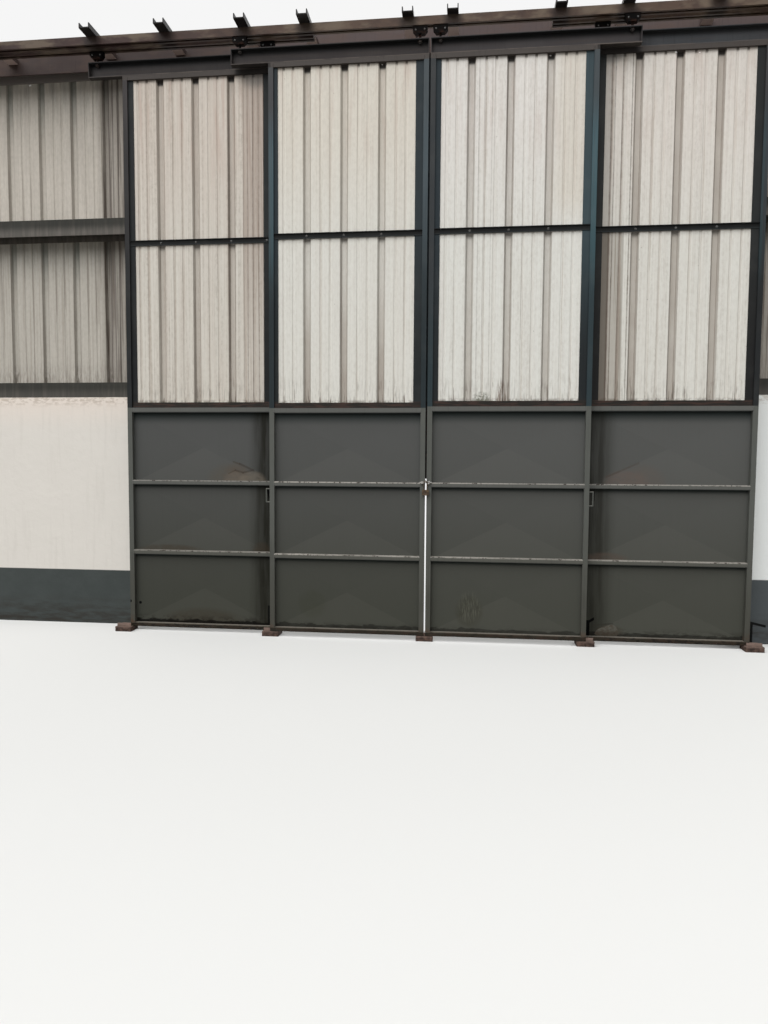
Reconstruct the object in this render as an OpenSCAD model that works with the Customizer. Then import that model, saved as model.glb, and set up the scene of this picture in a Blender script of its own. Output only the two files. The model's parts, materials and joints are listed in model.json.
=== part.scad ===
// Four-leaf sliding door in the steel end wall of a factory hall, seen from indoors.
// Millimetres. +X to the right, +Y outdoors, +Z up. The doorway is laid out about its own middle,
// with the inner leaves' indoor face at Y = 0, and set_out() moves it so that the origin lies
// under the base plate of the left door post.

/* [Leaves] */
// Clear width that one leaf closes
leaf_pitch = 1300; // [900:10:1600]
// Height of the inner leaves' tops above the floor
leaf_top = 4667; // [3800:1:5400]
// How much higher each leaf's own top is, leaves counted from the left
top_rise = [7, 0, 1, 14]; // [0:1:20]
// Gap under each closed leaf
floor_gap = [31, 47, 47, 30]; // [25:1:80]
// Half of the gap between the two meeting leaves
meeting_gap = 7; // [4:1:12]
// How far an outer leaf reaches behind an inner one
leaf_lap = 40; // [20:1:80]
// How far each leaf's outer edge stays short of its clear width, leaves counted from the left
outer_cut = [28, 0, 0, 13]; // [0:1:40]
// Distance from an inner leaf's face to an outer leaf's face
plane_step = 90; // [86:1:110]
// Distance from the inner leaves' face to the wall's indoor face
wall_set = 295; // [260:1:340]

/* [Leaf frames] */
// Width of a stile's face
stile_w = 40; // [30:1:60]
// Depth of the frame
frame_d = 50; // [44:1:54]
// Height of the bottom channel
bottom_h = 34; // [32:1:60]
// Wall of the bottom channel
bottom_t = 5; // [3:1:8]
// Height of the two rails across the lower plate
rail_h = 38; // [25:1:50]
// Depth of those rails
rail_d = 40; // [25:1:40]
// Underside of each leaf's lower rail above the floor
low_rail_z = [665, 666, 667, 656]; // [500:1:800]
// Underside of each leaf's upper rail
high_rail_z = [1270, 1270, 1272, 1270]; // [1100:1:1500]
// Underside of each leaf's mid rail
mid_rail_z = [1886, 1873, 1884, 1891]; // [1700:1:2200]
// Height of the mid rail
mid_rail_h = 40; // [25:1:50]
// Height of the top rail
top_rail_h = 35; // [25:1:70]
// Underside of each leaf's angle rail across the sheeting
angle_rail_z = [3285, 3281, 3286, 3292]; // [2600:1:3800]
// Height of that angle, whose level leg is on top
angle_rail_h = 43; // [20:1:60]
// Depth of that angle's level leg
angle_rail_d = 15; // [10:1:18]
// Thickness of angles and fixing strips
strip_t = 5; // [3:1:8]
// Width of the fixing strip beside each leaf's left stile, leaves counted from the left
strip_left = [46, 34, 44, 67]; // [10:1:90]
// Width of the fixing strip beside each leaf's right stile
strip_right = [69, 63, 60, 60]; // [10:1:90]
// Height of the fixing strip over the mid rail
strip_low = 45; // [20:1:80]
// Thickness of the lower plate
plate_t = 3; // [2:0.5:5]
// How far the cross-broken panes bulge towards outdoors
plate_rise = 6; // [2:0.5:7]

/* [Sheeting] */
// Distance from a leaf's face to its sheeting
sheet_in = 20; // [18:1:22]
// Spacing of the big ribs
rib_pitch = 305; // [200:1:333]
// Height of a big rib
rib_h = 25; // [15:1:28]
// Width of a big rib where it leaves the pan
rib_base = 68; // [50:1:90]
// Width of a big rib along its top
rib_crest = 36; // [20:1:48]
// Height of the two small ribs in a pan
swage_h = 4; // [2:0.5:8]
// Width of a small rib where it leaves the pan
swage_base = 26; // [16:1:34]
// Width of a small rib along its top
swage_crest = 12; // [6:1:14]
// Thickness of the sheet metal
sheet_t = 1; // [0.6:0.1:1.5]
// Place of each leaf's middle rib, measured from the middle of its clear width
sheet_shift = [-2, -32, -17, -25]; // [-60:1:60]

/* [Hangers] */
// Height of the carrying channel
channel_h = 126; // [80:1:160]
// Wall of the carrying channel
channel_t = 8; // [5:1:10]
// How far a carrying channel runs past its leaf
channel_over = 310; // [150:5:360]
// Thickness of the closing plate at each end of the channel
end_plate_t = 6; // [4:1:10]
// Distance from the leaf's leading edge to its first trolley
trolley_in = 73; // [65:1:120]
// Distance from the channel's far end to the second trolley
trolley_out = 70; // [65:1:120]
// Length of a trolley's body
trolley_l = 115; // [90:1:125]
// Height of the trolley body under the track
trolley_h = 57; // [40:1:80]
// Gap between the trolley body and the track
trolley_gap = 5; // [2:1:10]
// Width of the trolley body across the track
trolley_w = 46; // [30:1:56]
// Height of the body's cut lower corners, and how far they are cut back
trolley_cut = [23, 28]; // [10:1:30]
// Diameter of the hanger bolt
bolt_d = 18; // [12:1:24]
// Clearance of that bolt in the channel's flange
bolt_play = 1; // [0.5:0.5:3]
// Width of the hanger nut across its corners
nut_d = 34; // [28:1:42]
// Height of the hanger nut
nut_h = 16; // [10:1:24]
// Length of thread under the nut
thread_end = 8; // [0:1:20]
// Length of hanger bolt that shows between trolley and channel on a leaf without extra height
bolt_show = 35; // [30:1:60]
// Diameter of a trolley wheel
wheel_d = 44; // [36:1:50]
// Width of a trolley wheel
wheel_w = 11; // [8:1:12]
// Distance between a trolley's two axles
axle_pitch = 67; // [54:1:70]
// Diameter of the axles
axle_d = 12; // [8:1:14]
// Thickness of the hanger plate that runs in the slot
hanger_t = 12; // [8:1:14]
// Clearance between that plate and a wheel
wheel_gap = 1; // [0.5:0.5:1.5]

/* [Tracks] */
// Width of a track
track_w = 56; // [54:1:80]
// Height of a track
track_h = 65; // [58:1:76]
// Wall of a track
track_t = 4; // [3:0.5:5]
// Width of the slot in a track's underside
track_slot = 20; // [16:1:24]
// Distance from the doorway's middle to the tracks' outer ends
track_reach = 4250; // [4240:5:4600]
// Distance from the doorway's middle to the outer tracks' inner ends
outer_track_start = 950; // [700:10:1100]
// Distances of the brackets from the doorway's middle
bracket_near = [175, 1000, 1505, 2165]; // [100:5:2600]
// The same over the side bays; a last bracket stands at each end of the tracks
bracket_far = [2790, 3700]; // [2700:5:3900]
// Width of a bracket
bracket_w = 88; // [60:1:140]
// Height of a bracket's legs
bracket_h = 40; // [30:1:90]
// Steel thickness of a bracket
bracket_t = 8; // [4:1:10]
// How far a bracket overhangs the inner track
bracket_nose = 68; // [5:1:130]
// How far the left side's outer brackets overhang it
bracket_nose_left = 120; // [5:1:160]

/* [Wall] */
// Width of the bay beside the doorway
bay_w = 1850; // [1840:10:2600]
// Width of the posts' flanges
section = 150; // [140:1:180]
// Depth of the posts and girts
post_d = 200; // [180:1:220]
// Depth of the header, which ends at the posts' outdoor face
header_d = 150; // [120:1:180]
// Height of the header's flanges
header_h = 200; // [180:1:240]
// Distance from the header's underside to the tracks' tops
header_drop = 94; // [70:1:130]
// Flange thickness of those sections
flange_t = 10; // [6:1:14]
// Web thickness of those sections
web_t = 7; // [5:1:10]
// How far an outer leaf covers its door post
post_lap = 150; // [150:1:200]
// Height of the rendered dado wall
dado_h = 2034; // [1600:2:2200]
// Height of the girt on the dado
sill_girt_h = 131; // [100:1:150]
// Underside of the upper girt, above the floor
girt_z = 3450; // [2800:10:3900]
// Height of the upper girt
girt_h = 140; // [120:1:160]
// Steps back from the girts' outdoor face to the wall sheeting
wall_sheet_gap = 0.3; // [0.2:0.1:2]
// How far the wall sheeting hangs down over the dado
wall_sheet_lap = 60; // [20:1:120]
// Place of the first rib, measured from the doorway's edge
wall_rib_set = 326; // [150:1:455]

/* [Post bases] */
// Length of a base plate across the wall
base_l = 290; // [285:1:340]
// Thickness of a base plate
base_t = 12; // [8:1:20]
// Diameter of the anchor holes
anchor_d = 22; // [14:1:26]
// Anchor spacing along the wall
anchor_x = 100; // [80:1:110]
// Anchor spacing across the wall
anchor_y = 245; // [240:1:250]

/* [Floor guides] */
// Length of a guide block
guide_l = 140; // [80:1:180]
// Clearance between a guide block and the leaves
guide_gap = 5; // [5:1:12]
// Thickness of a guide fin
fin_t = 10; // [6:1:14]
// Height that a fin reaches into the bottom channel
fin_in = 22; // [15:1:22]

/* [Fastenings] */
// Height of the slide bolt's middle
bolt_z = 1310; // [1100:1:1500]
// Diameter of the slide bolt
slide_d = 10; // [8:1:14]
// How far the slide bolt reaches to each side of the gap
slide_reach = 48; // [46:1:60]
// Distance from the leaves' face to the slide bolt's middle
slide_off = 8; // [8:1:12]
// Width of a keeper lug
keeper_w = 20; // [10:1:24]
// Thickness of a keeper lug
keeper_t = 6; // [4:1:8]
// Clearance between a keeper lug and the slide bolt
keeper_gap = 1; // [0.5:0.5:2]
// Width of the bolt's guide on the left stile
rod_guide_w = 18; // [10:1:24]
// Thickness of the padlock's lug
lug_t = 4; // [3:1:6]
// Diameter of the hole in that lug
lug_eye = 9; // [8.5:0.5:11]
// Distance from the slide bolt's middle forward to that hole
lug_out = 12; // [11:1:16]
// Distance from the slide bolt's middle up to that hole
lug_up = 11; // [11:1:16]
// Width of the padlock body
lock_w = 56; // [45:1:64]
// Height of the padlock body
lock_h = 46; // [30:1:60]
// Thickness of the padlock body
lock_t = 18; // [12:1:20]
// Cut corners of the padlock body
lock_cut = 5; // [1:1:8]
// Diameter of the padlock's shackle
shackle_d = 7; // [5:0.5:7]
// Radius of the shackle's bend, to the middle of the rod
shackle_r = 13; // [12:0.5:14]
// Straight length of the shackle under its bend
shackle_leg = 56; // [30:1:70]
// Height of the meeting strip's lower end
strip_start = 1340; // [1000:5:1600]
// Width of the meeting strip past the gap
strip_over = 20; // [14:1:21]
// Thickness of the meeting strip
strip_metal = 3; // [2:1:4]
// Distance from the leaves' outdoor face to the meeting strip
strip_off = 5; // [4:1:8]
// Reach of the pull loops beside the inner leaves
loop_out = 36; // [25:1:60]
// Height of the pull loops
loop_h = 110; // [60:1:160]
// Lower end of the pull loops, above the floor
loop_z = 1135; // [900:5:1250]
// Diameter of the pull loops' rod
loop_d = 10; // [8:1:14]
// Distance from the leaf's face to the middle of that rod
loop_y = 14; // [8:1:30]

/* [Hidden] */
$fn = 32;
touch = 0.3;
outer_y = plane_step;
sheet_y = sheet_in + touch;
strip_y = sheet_in - strip_t;
plate_y = rail_d;
channel_top = leaf_top + channel_h;
trolley_z = channel_top + bolt_show;
track_z = trolley_z + trolley_h + trolley_gap;
track_top = track_z + track_h;
axle_z = track_z + track_t + wheel_d / 2;
header_z = track_top - header_drop;
header_top = header_z + header_h;
wall_y = wall_set;
wall_back = wall_y + post_d;
header_y = wall_back - header_d;
door_half = 2 * leaf_pitch;
post_in = door_half - post_lap;
post_out = post_in + section;
bay_out = post_out + bay_w;
wall_end = bay_out + section;
post_mid = post_in + section / 2;
wall_sheet_y = wall_back + wall_sheet_gap;
inner_reach = leaf_pitch + channel_over;
outer_start = leaf_pitch - leaf_lap;
outer_reach = door_half + channel_over - leaf_lap;
track_mid_y = frame_d / 2;
lock_y = -slide_off - lug_out;
eye_z = bolt_z + lug_up;
shackle_z = eye_z - (lug_eye - shackle_d) / 2 + touch - shackle_r;
plane_y = [0, outer_y];
plane_gap = [min(floor_gap[1], floor_gap[2]), min(floor_gap[0], floor_gap[3])];
guide_x = [0, leaf_pitch, door_half];
steel = [0.24, 0.27, 0.28];
pale = [0.80, 0.80, 0.77];

// One row for each leaf, from the left: side, leading edge, trailing edge, face, reach of its channel
LEAF = ["left_outer", "left_inner", "right_inner", "right_outer"];
leaf_side = [-1, -1, 1, 1];
leaf_lead = [outer_start, meeting_gap, meeting_gap, outer_start];
leaf_trail = [door_half, leaf_pitch, leaf_pitch, door_half] - outer_cut;
leaf_face = [outer_y, 0, 0, outer_y];
leaf_reach = [outer_reach, inner_reach, inner_reach, outer_reach];
leaf_mid = [-1.5, -0.5, 0.5, 1.5] * leaf_pitch;

// Moves the doorway so that the origin is under the left door post's base plate
module set_out() translate([post_mid, -(wall_y + post_d / 2), 0]) children();

// A box from its lowest corner to its highest
module span(low, high) translate(low) cube(high - low);

// Left edge and right edge of a leaf, whichever side it is on
function leaf_x0(i) = min(leaf_side[i] * leaf_lead[i], leaf_side[i] * leaf_trail[i]);
function leaf_x1(i) = max(leaf_side[i] * leaf_lead[i], leaf_side[i] * leaf_trail[i]);

// Levels of a leaf: its top, the top of its mid rail and the top of its bottom channel
function top_z(i) = leaf_top + top_rise[i];
function mid_rail_top(i) = mid_rail_z[i] + mid_rail_h;
function bottom_top(i) = floor_gap[i] + bottom_h;

// Corrugated sheet: a flat pan with big ribs and two small ones in each pan, all towards outdoors

function rib(mid, base, crest, height) = [
    [mid - base / 2, 0], [mid - crest / 2, height], [mid + crest / 2, height], [mid + base / 2, 0]
];

function sheet_line(x0, x1, mid) = let(
    pan = rib_pitch - rib_base,
    first = floor((x0 - mid) / rib_pitch) - 1,
    last = ceil((x1 - mid) / rib_pitch) + 1
) concat([[x0, 0]], [
    for (k = [first:last])
        for (step = [0:2])
            let(
                centre = mid + k * rib_pitch + (step == 0 ? 0 : rib_base / 2 + step * pan / 3),
                base = step == 0 ? rib_base : swage_base,
                crest = step == 0 ? rib_crest : swage_crest,
                height = step == 0 ? rib_h : swage_h
            )
            if (centre - base / 2 > x0 + 2 && centre + base / 2 < x1 - 2)
                each rib(centre, base, crest, height)
], [[x1, 0]]);

module corrugated(x0, x1, z0, z1, mid) {
    line = sheet_line(x0, x1, mid);
    count = len(line);
    back = [for (i = [count - 1:-1:0]) line[i] + [0, sheet_t]];
    translate([0, 0, z0])
        linear_extrude(z1 - z0)
            polygon(concat(line, back));
}

// Rolled section with its two flanges facing indoors and outdoors, drawn in plan about its middle
module h_plan(width, depth) {
    for (side = [-1, 1])
        translate([0, side * (depth - flange_t) / 2])
            square([width, flange_t], center = true);
    square([web_t, depth - flange_t], center = true);
}

// The same section lying along X with its web level, out to the wall's outdoor face
module level_section(x0, x1, z0, height, depth)
    translate([x0, wall_back - depth / 2, z0 + height / 2])
        rotate([90, 0, 90])
            linear_extrude(x1 - x0)
                rotate(90)
                    h_plan(height, depth);

// Post with a base plate and four anchor holes, standing about the given X
module post(x) translate([x, wall_y + post_d / 2, 0]) {
    difference() {
        translate([-section / 2, -base_l / 2, 0])
            cube([section, base_l, base_t]);
        for (side_x = [-1, 1], side_y = [-1, 1])
            translate([side_x * anchor_x / 2, side_y * anchor_y / 2, -1])
                cylinder(d = anchor_d, h = base_t + 2);
    }
    translate([0, 0, base_t])
        linear_extrude(header_z - base_t)
            h_plan(section, post_d);
}

module left_door_post() color(steel) post(-post_mid);
module right_door_post() color(steel) post(post_mid);

module end_posts() color(steel)
    for (side = [-1, 1])
        post(side * (bay_out + section / 2));

module header_beam() color([0.36, 0.34, 0.32])
    level_section(-wall_end, wall_end, header_z, header_h, header_d);

// Two girts between the posts on each side of the doorway
module wall_girts() color(steel)
    for (side = [-1, 1]) {
        x0 = side < 0 ? -bay_out : post_out;
        level_section(x0, x0 + bay_w, dado_h, sill_girt_h, post_d);
        level_section(x0, x0 + bay_w, girt_z, girt_h, post_d);
    }

module dado_wall(side) color([0.86, 0.86, 0.84])
    span([side < 0 ? -bay_out : post_out, wall_y, 0], [side < 0 ? -post_out : bay_out, wall_back, dado_h]);

module left_dado_wall() dado_wall(-1);
module right_dado_wall() dado_wall(1);

module wall_sheets() color(pale)
    for (side = [-1, 1])
        translate([0, wall_sheet_y, 0])
            corrugated(
                side < 0 ? -wall_end : post_in, side < 0 ? -post_in : wall_end,
                dado_h - wall_sheet_lap, header_top, side * (door_half + wall_rib_set)
            );

// Box track with a slot along its underside, closed by a stop plate at each outer end

module track_plan() difference() {
    translate([-track_w / 2, 0])
        square([track_w, track_h]);
    translate([-track_w / 2 + track_t, track_t])
        square([track_w - 2 * track_t, track_h - 2 * track_t]);
    translate([-track_slot / 2, -1])
        square([track_slot, track_t + 2]);
}

module track(x0, x1, stops) {
    translate([x0, track_mid_y, track_z])
        rotate([90, 0, 90])
            linear_extrude(x1 - x0)
                track_plan();
    for (x = stops)
        span(
            [x, track_mid_y - track_w / 2 + track_t, track_z + track_t],
            [x + track_t, track_mid_y + track_w / 2 - track_t, track_top - track_t]
        );
}

module inner_track() color([0.42, 0.40, 0.36])
    track(-track_reach, track_reach, [-track_reach, track_reach - track_t]);

module outer_tracks() color([0.42, 0.40, 0.36])
    translate([0, outer_y, 0]) {
        track(-track_reach, -outer_track_start, [-track_reach, -outer_track_start - track_t]);
        track(outer_track_start, track_reach, [outer_track_start, track_reach - track_t]);
    }

// Channels with their legs up, laid across both tracks and fixed to the header's face
module track_brackets() color([0.20, 0.20, 0.20])
    for (side = [-1, 1], x = concat(bracket_near, bracket_far, track_reach - bracket_w / 2))
        translate([side * x, 0, track_top])
            bracket(side * x < -bracket_near[0] ? bracket_nose_left : bracket_nose);

module bracket(nose) difference() {
    front = track_mid_y - track_w / 2 - nose;
    leg_in = bracket_w / 2 - bracket_t;
    span([-bracket_w / 2, front, 0], [bracket_w / 2, header_y, bracket_h]);
    span([-leg_in, front - 1, bracket_t], [leg_in, header_y + 1, bracket_h + 1]);
}

// Blocks on the floor with a fin for each plane of leaves
module floor_guides() color([0.35, 0.24, 0.17])
    for (side = [-1, 1], x = guide_x)
        if (x > 0 || side > 0)
            translate([side * x, 0, 0])
                floor_guide(x > 0 ? [0, 1] : [0]);

// The block serves the planes listed, 0 for the inner leaves and 1 for the outer ones
module floor_guide(planes) {
    base_h = min([for (p = planes) plane_gap[p]]) - guide_gap;
    span([-guide_l / 2, 0, 0], [guide_l / 2, plane_y[max(planes)] + frame_d, base_h]);
    for (p = planes) {
        top = plane_gap[p] - guide_gap;
        fin_y = plane_y[p] + (frame_d - fin_t) / 2;
        if (top > base_h)
            span([-guide_l / 2, plane_y[p], base_h], [guide_l / 2, plane_y[p] + frame_d, top]);
        span([fin_t - guide_l / 2, fin_y, top], [guide_l / 2 - fin_t, fin_y + fin_t, plane_gap[p] + fin_in]);
    }
}

// The parts of one leaf

module leaf_stiles(i) color(steel) translate([0, leaf_face[i], 0]) {
    span([leaf_x0(i), 0, bottom_top(i)], [leaf_x0(i) + stile_w, frame_d, top_z(i) - top_rail_h]);
    span([leaf_x1(i) - stile_w, 0, bottom_top(i)], [leaf_x1(i), frame_d, top_z(i) - top_rail_h]);
}

module leaf_rails(i) color(steel) translate([0, leaf_face[i], 0]) {
    x0 = leaf_x0(i);
    x1 = leaf_x1(i);
    in0 = x0 + stile_w;
    in1 = x1 - stile_w;
    difference() {
        span([x0, 0, floor_gap[i]], [x1, frame_d, bottom_top(i)]);
        span([x0 - 1, bottom_t, floor_gap[i] - 1], [x1 + 1, frame_d - bottom_t, bottom_top(i) - bottom_t]);
    }
    for (z = [low_rail_z[i], high_rail_z[i]])
        span([in0, 0, z], [in1, rail_d, z + rail_h]);
    span([in0, 0, mid_rail_z[i]], [in1, frame_d, mid_rail_top(i)]);
    span([x0, 0, top_z(i) - top_rail_h], [x1, frame_d, top_z(i)]);
    angle_top = angle_rail_z[i] + angle_rail_h;
    span([in0, strip_y - angle_rail_d, angle_top - strip_t], [in1, strip_y, angle_top]);
    span([in0, strip_y - strip_t, angle_rail_z[i]], [in1, strip_y, angle_top]);
}

// Flat bars in the frame's opening, to which the sheeting is fixed
module leaf_strips(i) color(steel) translate([0, leaf_face[i] + strip_y, 0]) {
    in0 = leaf_x0(i) + stile_w;
    in1 = leaf_x1(i) - stile_w;
    low = mid_rail_top(i);
    high = top_z(i) - top_rail_h;
    mid0 = in0 + strip_left[i] + touch;
    mid1 = in1 - strip_right[i] - touch;
    span([in0, 0, low], [in0 + strip_left[i], strip_t, high]);
    span([in1 - strip_right[i], 0, low], [in1, strip_t, high]);
    span([mid0, 0, low], [mid1, strip_t, low + strip_low]);
}

// Lower plate in three panes, each cross-broken to a low point in its middle
module leaf_plate(i) color([0.29, 0.31, 0.31]) translate([0, leaf_face[i] + plate_y, 0]) {
    in0 = leaf_x0(i) + stile_w;
    in1 = leaf_x1(i) - stile_w;
    levels = [bottom_top(i), low_rail_z[i] + rail_h / 2, high_rail_z[i] + rail_h / 2, mid_rail_z[i]];
    for (k = [0:2])
        cross_broken(in0, in1, levels[k], levels[k + 1]);
}

module cross_broken(x0, x1, z0, z1) {
    middle = [(x0 + x1) / 2, plate_rise, (z0 + z1) / 2];
    face = [[x0, 0, z0], [x1, 0, z0], [x1, 0, z1], [x0, 0, z1], middle];
    back = [for (p = face) p + [0, plate_t, 0]];
    sides = [for (k = [0:3]) let(next = (k + 1) % 4) [k, k + 5, next + 5, next]];
    polyhedron(
        points = concat(face, back),
        faces = concat(
            [for (k = [0:3]) [k, (k + 1) % 4, 4]],
            [for (k = [0:3]) [(k + 1) % 4 + 5, k + 5, 9]],
            sides
        )
    );
}

module leaf_sheet(i) color(pale) translate([0, leaf_face[i] + sheet_y, 0])
    corrugated(
        leaf_x0(i) + stile_w + touch, leaf_x1(i) - stile_w - touch,
        mid_rail_top(i) + touch, top_z(i) - top_rail_h - touch, leaf_mid[i] + sheet_shift[i]
    );

function trolley_places(i) = [leaf_lead[i] + trolley_in, leaf_reach[i] - trolley_out];

// Channel open towards indoors, with a plate at each end and a hole for each hanger bolt
module leaf_channel(i) color(steel) translate([0, leaf_face[i], top_z(i)]) {
    x0 = leaf_side[i] < 0 ? -leaf_reach[i] : leaf_lead[i];
    x1 = leaf_side[i] < 0 ? -leaf_lead[i] : leaf_reach[i];
    difference() {
        span([x0, 0, 0], [x1, frame_d, channel_h]);
        span(
            [x0 + end_plate_t, -1, channel_t],
            [x1 - end_plate_t, frame_d - channel_t, channel_h - channel_t]
        );
        for (x = trolley_places(i))
            translate([leaf_side[i] * x, frame_d / 2, channel_h - channel_t - 1])
                cylinder(d = bolt_d + 2 * bolt_play, h = channel_t + 2);
    }
}

module leaf_trolleys(i) color([0.26, 0.22, 0.20])
    for (x = trolley_places(i))
        translate([leaf_side[i] * x, leaf_face[i] + frame_d / 2, 0])
            trolley(top_rise[i]);

// Body with cut corners, hanger plate, two axles with four wheels, and the bolt and nut that hold the leaf
module trolley(rise) {
    half = trolley_l / 2;
    translate([0, trolley_w / 2, trolley_z])
        rotate([90, 0, 0])
            linear_extrude(trolley_w)
                polygon([
                    [-half + trolley_cut[0], 0], [half - trolley_cut[0], 0], [half, trolley_cut[1]],
                    [half, trolley_h], [-half, trolley_h], [-half, trolley_cut[1]]
                ]);
    translate([-half, -hanger_t / 2, trolley_z + trolley_h])
        cube([trolley_l, hanger_t, axle_z + axle_d - trolley_z - trolley_h]);
    for (side = [-1, 1])
        translate([side * axle_pitch / 2, 0, axle_z])
            rotate([90, 0, 0])
                wheel_pair();
    nut_z = channel_top + rise - channel_t - nut_h;
    translate([0, 0, nut_z])
        cylinder(d = nut_d, h = nut_h, $fn = 6);
    translate([0, 0, nut_z - thread_end])
        cylinder(d = bolt_d, h = trolley_z - nut_z + thread_end);
}

module wheel_pair() {
    across = hanger_t + 2 * (wheel_gap + wheel_w);
    cylinder(d = axle_d, h = across + 2 * wheel_gap, center = true);
    for (side = [-1, 1])
        translate([0, 0, side * (across - wheel_w) / 2])
            cylinder(d = wheel_d, h = wheel_w, center = true);
}

// Flat bar on a packing bar behind the left leaf, which covers the meeting gap above the bolt
module meeting_strip() color([0.34, 0.36, 0.37]) {
    x0 = touch - meeting_gap - stile_w / 2;
    back = frame_d + strip_off;
    span([x0, frame_d, strip_start], [-meeting_gap - touch, back, leaf_top]);
    span([x0, back, strip_start], [strip_over, back + strip_metal, leaf_top]);
}

// Rod along the leaves' face, its guide on the left stile, and a drilled lug for the padlock
module slide_bolt() color([0.55, 0.55, 0.53]) {
    translate([-slide_reach, -slide_off, bolt_z])
        rotate([0, 90, 0])
            cylinder(d = slide_d, h = 2 * slide_reach);
    translate([-meeting_gap - stile_w / 2 - rod_guide_w / 2, -slide_off - slide_d, bolt_z - slide_d])
        cube([rod_guide_w, slide_off + slide_d, 2 * slide_d]);
    difference() {
        span([-lug_t / 2, lock_y - lug_eye, bolt_z - slide_d / 2], [lug_t / 2, -slide_off, eye_z + lug_eye]);
        translate([-lug_t, lock_y, eye_z])
            rotate([0, 90, 0])
                cylinder(d = lug_eye, h = 2 * lug_t);
    }
}

// Two flat lugs on the right leaf, over and under the end of the rod
module bolt_keeper() color([0.55, 0.55, 0.53])
    for (side = [-1, 1])
        translate([meeting_gap + stile_w / 2, 0, bolt_z + side * (slide_d + keeper_t + 2 * keeper_gap) / 2])
            translate([-keeper_w / 2, -slide_off - slide_d, -keeper_t / 2])
                cube([keeper_w, slide_off + slide_d, keeper_t]);

module padlock() color([0.45, 0.34, 0.20]) translate([0, lock_y, shackle_z]) {
    rotate([90, 0, 0])
        rotate_extrude(angle = 180)
            translate([shackle_r, 0])
                circle(d = shackle_d);
    for (side = [-1, 1])
        translate([side * shackle_r, 0, -shackle_leg])
            cylinder(d = shackle_d, h = shackle_leg);
    translate([0, lock_t / 2, -shackle_leg - lock_h])
        rotate([90, 0, 0])
            linear_extrude(lock_t)
                polygon([
                    [-lock_w / 2, lock_cut], [-lock_w / 2 + lock_cut, 0], [lock_w / 2 - lock_cut, 0],
                    [lock_w / 2, lock_cut], [lock_w / 2, lock_h - lock_cut], [lock_w / 2 - lock_cut, lock_h],
                    [-lock_w / 2 + lock_cut, lock_h], [-lock_w / 2, lock_h - lock_cut]
                ]);
}

// Bent rod on the outer side of an inner leaf, by which it is pulled shut
module pull_loop(side) color([0.40, 0.41, 0.41])
    translate([side * leaf_trail[side < 0 ? 1 : 2], loop_y, 0]) {
        bar = loop_out - loop_d / 2;
        for (z = [loop_z, loop_z + loop_h])
            translate([0, 0, z]) {
                rotate([0, 90 * side, 0])
                    cylinder(d = loop_d, h = bar);
                translate([side * bar, 0, 0])
                    sphere(d = loop_d);
            }
        translate([side * bar, 0, loop_z])
            cylinder(d = loop_d, h = loop_h);
    }

module left_pull_loop() pull_loop(-1);
module right_pull_loop() pull_loop(1);

set_out() left_door_post();
set_out() right_door_post();
set_out() end_posts();
set_out() header_beam();
set_out() wall_girts();
set_out() left_dado_wall();
set_out() right_dado_wall();
set_out() wall_sheets();
set_out() inner_track();
set_out() outer_tracks();
set_out() track_brackets();
set_out() floor_guides();
for (i = [0:3]) {
    set_out() leaf_stiles(i);
    set_out() leaf_rails(i);
    set_out() leaf_strips(i);
    set_out() leaf_plate(i);
    set_out() leaf_sheet(i);
    set_out() leaf_channel(i);
    set_out() leaf_trolleys(i);
}
set_out() meeting_strip();
set_out() slide_bolt();
set_out() bolt_keeper();
set_out() padlock();
set_out() left_pull_loop();
set_out() right_pull_loop();
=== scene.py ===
# %% [markdown]
# # Telescopic sliding door in a factory end wall
# The solids of this door come from a CAD model. This script dresses them: it sets up the camera and
# the light, gives every solid a worn and dirty finish, and adds the small things that a CAD model
# leaves out, such as screws, weld seams and torn sheet metal.

# %% Load the solids
import json
import math

import bpy
from mathutils import Matrix, Vector


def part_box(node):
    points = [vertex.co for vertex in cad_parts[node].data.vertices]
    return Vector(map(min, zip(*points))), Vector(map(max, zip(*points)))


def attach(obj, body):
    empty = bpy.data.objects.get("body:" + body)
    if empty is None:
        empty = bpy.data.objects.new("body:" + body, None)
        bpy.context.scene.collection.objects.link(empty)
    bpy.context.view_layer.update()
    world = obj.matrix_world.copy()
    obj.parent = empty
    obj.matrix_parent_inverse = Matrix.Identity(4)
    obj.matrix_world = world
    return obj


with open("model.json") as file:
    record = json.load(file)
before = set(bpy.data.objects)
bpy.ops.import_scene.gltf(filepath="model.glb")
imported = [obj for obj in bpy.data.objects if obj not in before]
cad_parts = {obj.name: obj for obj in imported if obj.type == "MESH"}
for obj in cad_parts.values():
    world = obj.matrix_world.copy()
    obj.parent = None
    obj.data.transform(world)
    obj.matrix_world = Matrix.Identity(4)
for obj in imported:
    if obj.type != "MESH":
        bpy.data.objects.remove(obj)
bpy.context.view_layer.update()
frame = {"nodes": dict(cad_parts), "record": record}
nodes = frame["nodes"]

# %% [markdown]
# ## Places
# Dirt sits where rain, hands and loads leave it, so the finishes need to know where the rails, the
# leaves and the wall are. All of these places are read off the solids, in metres. X runs to the
# right along the wall, Y outdoors and Z up.

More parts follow.
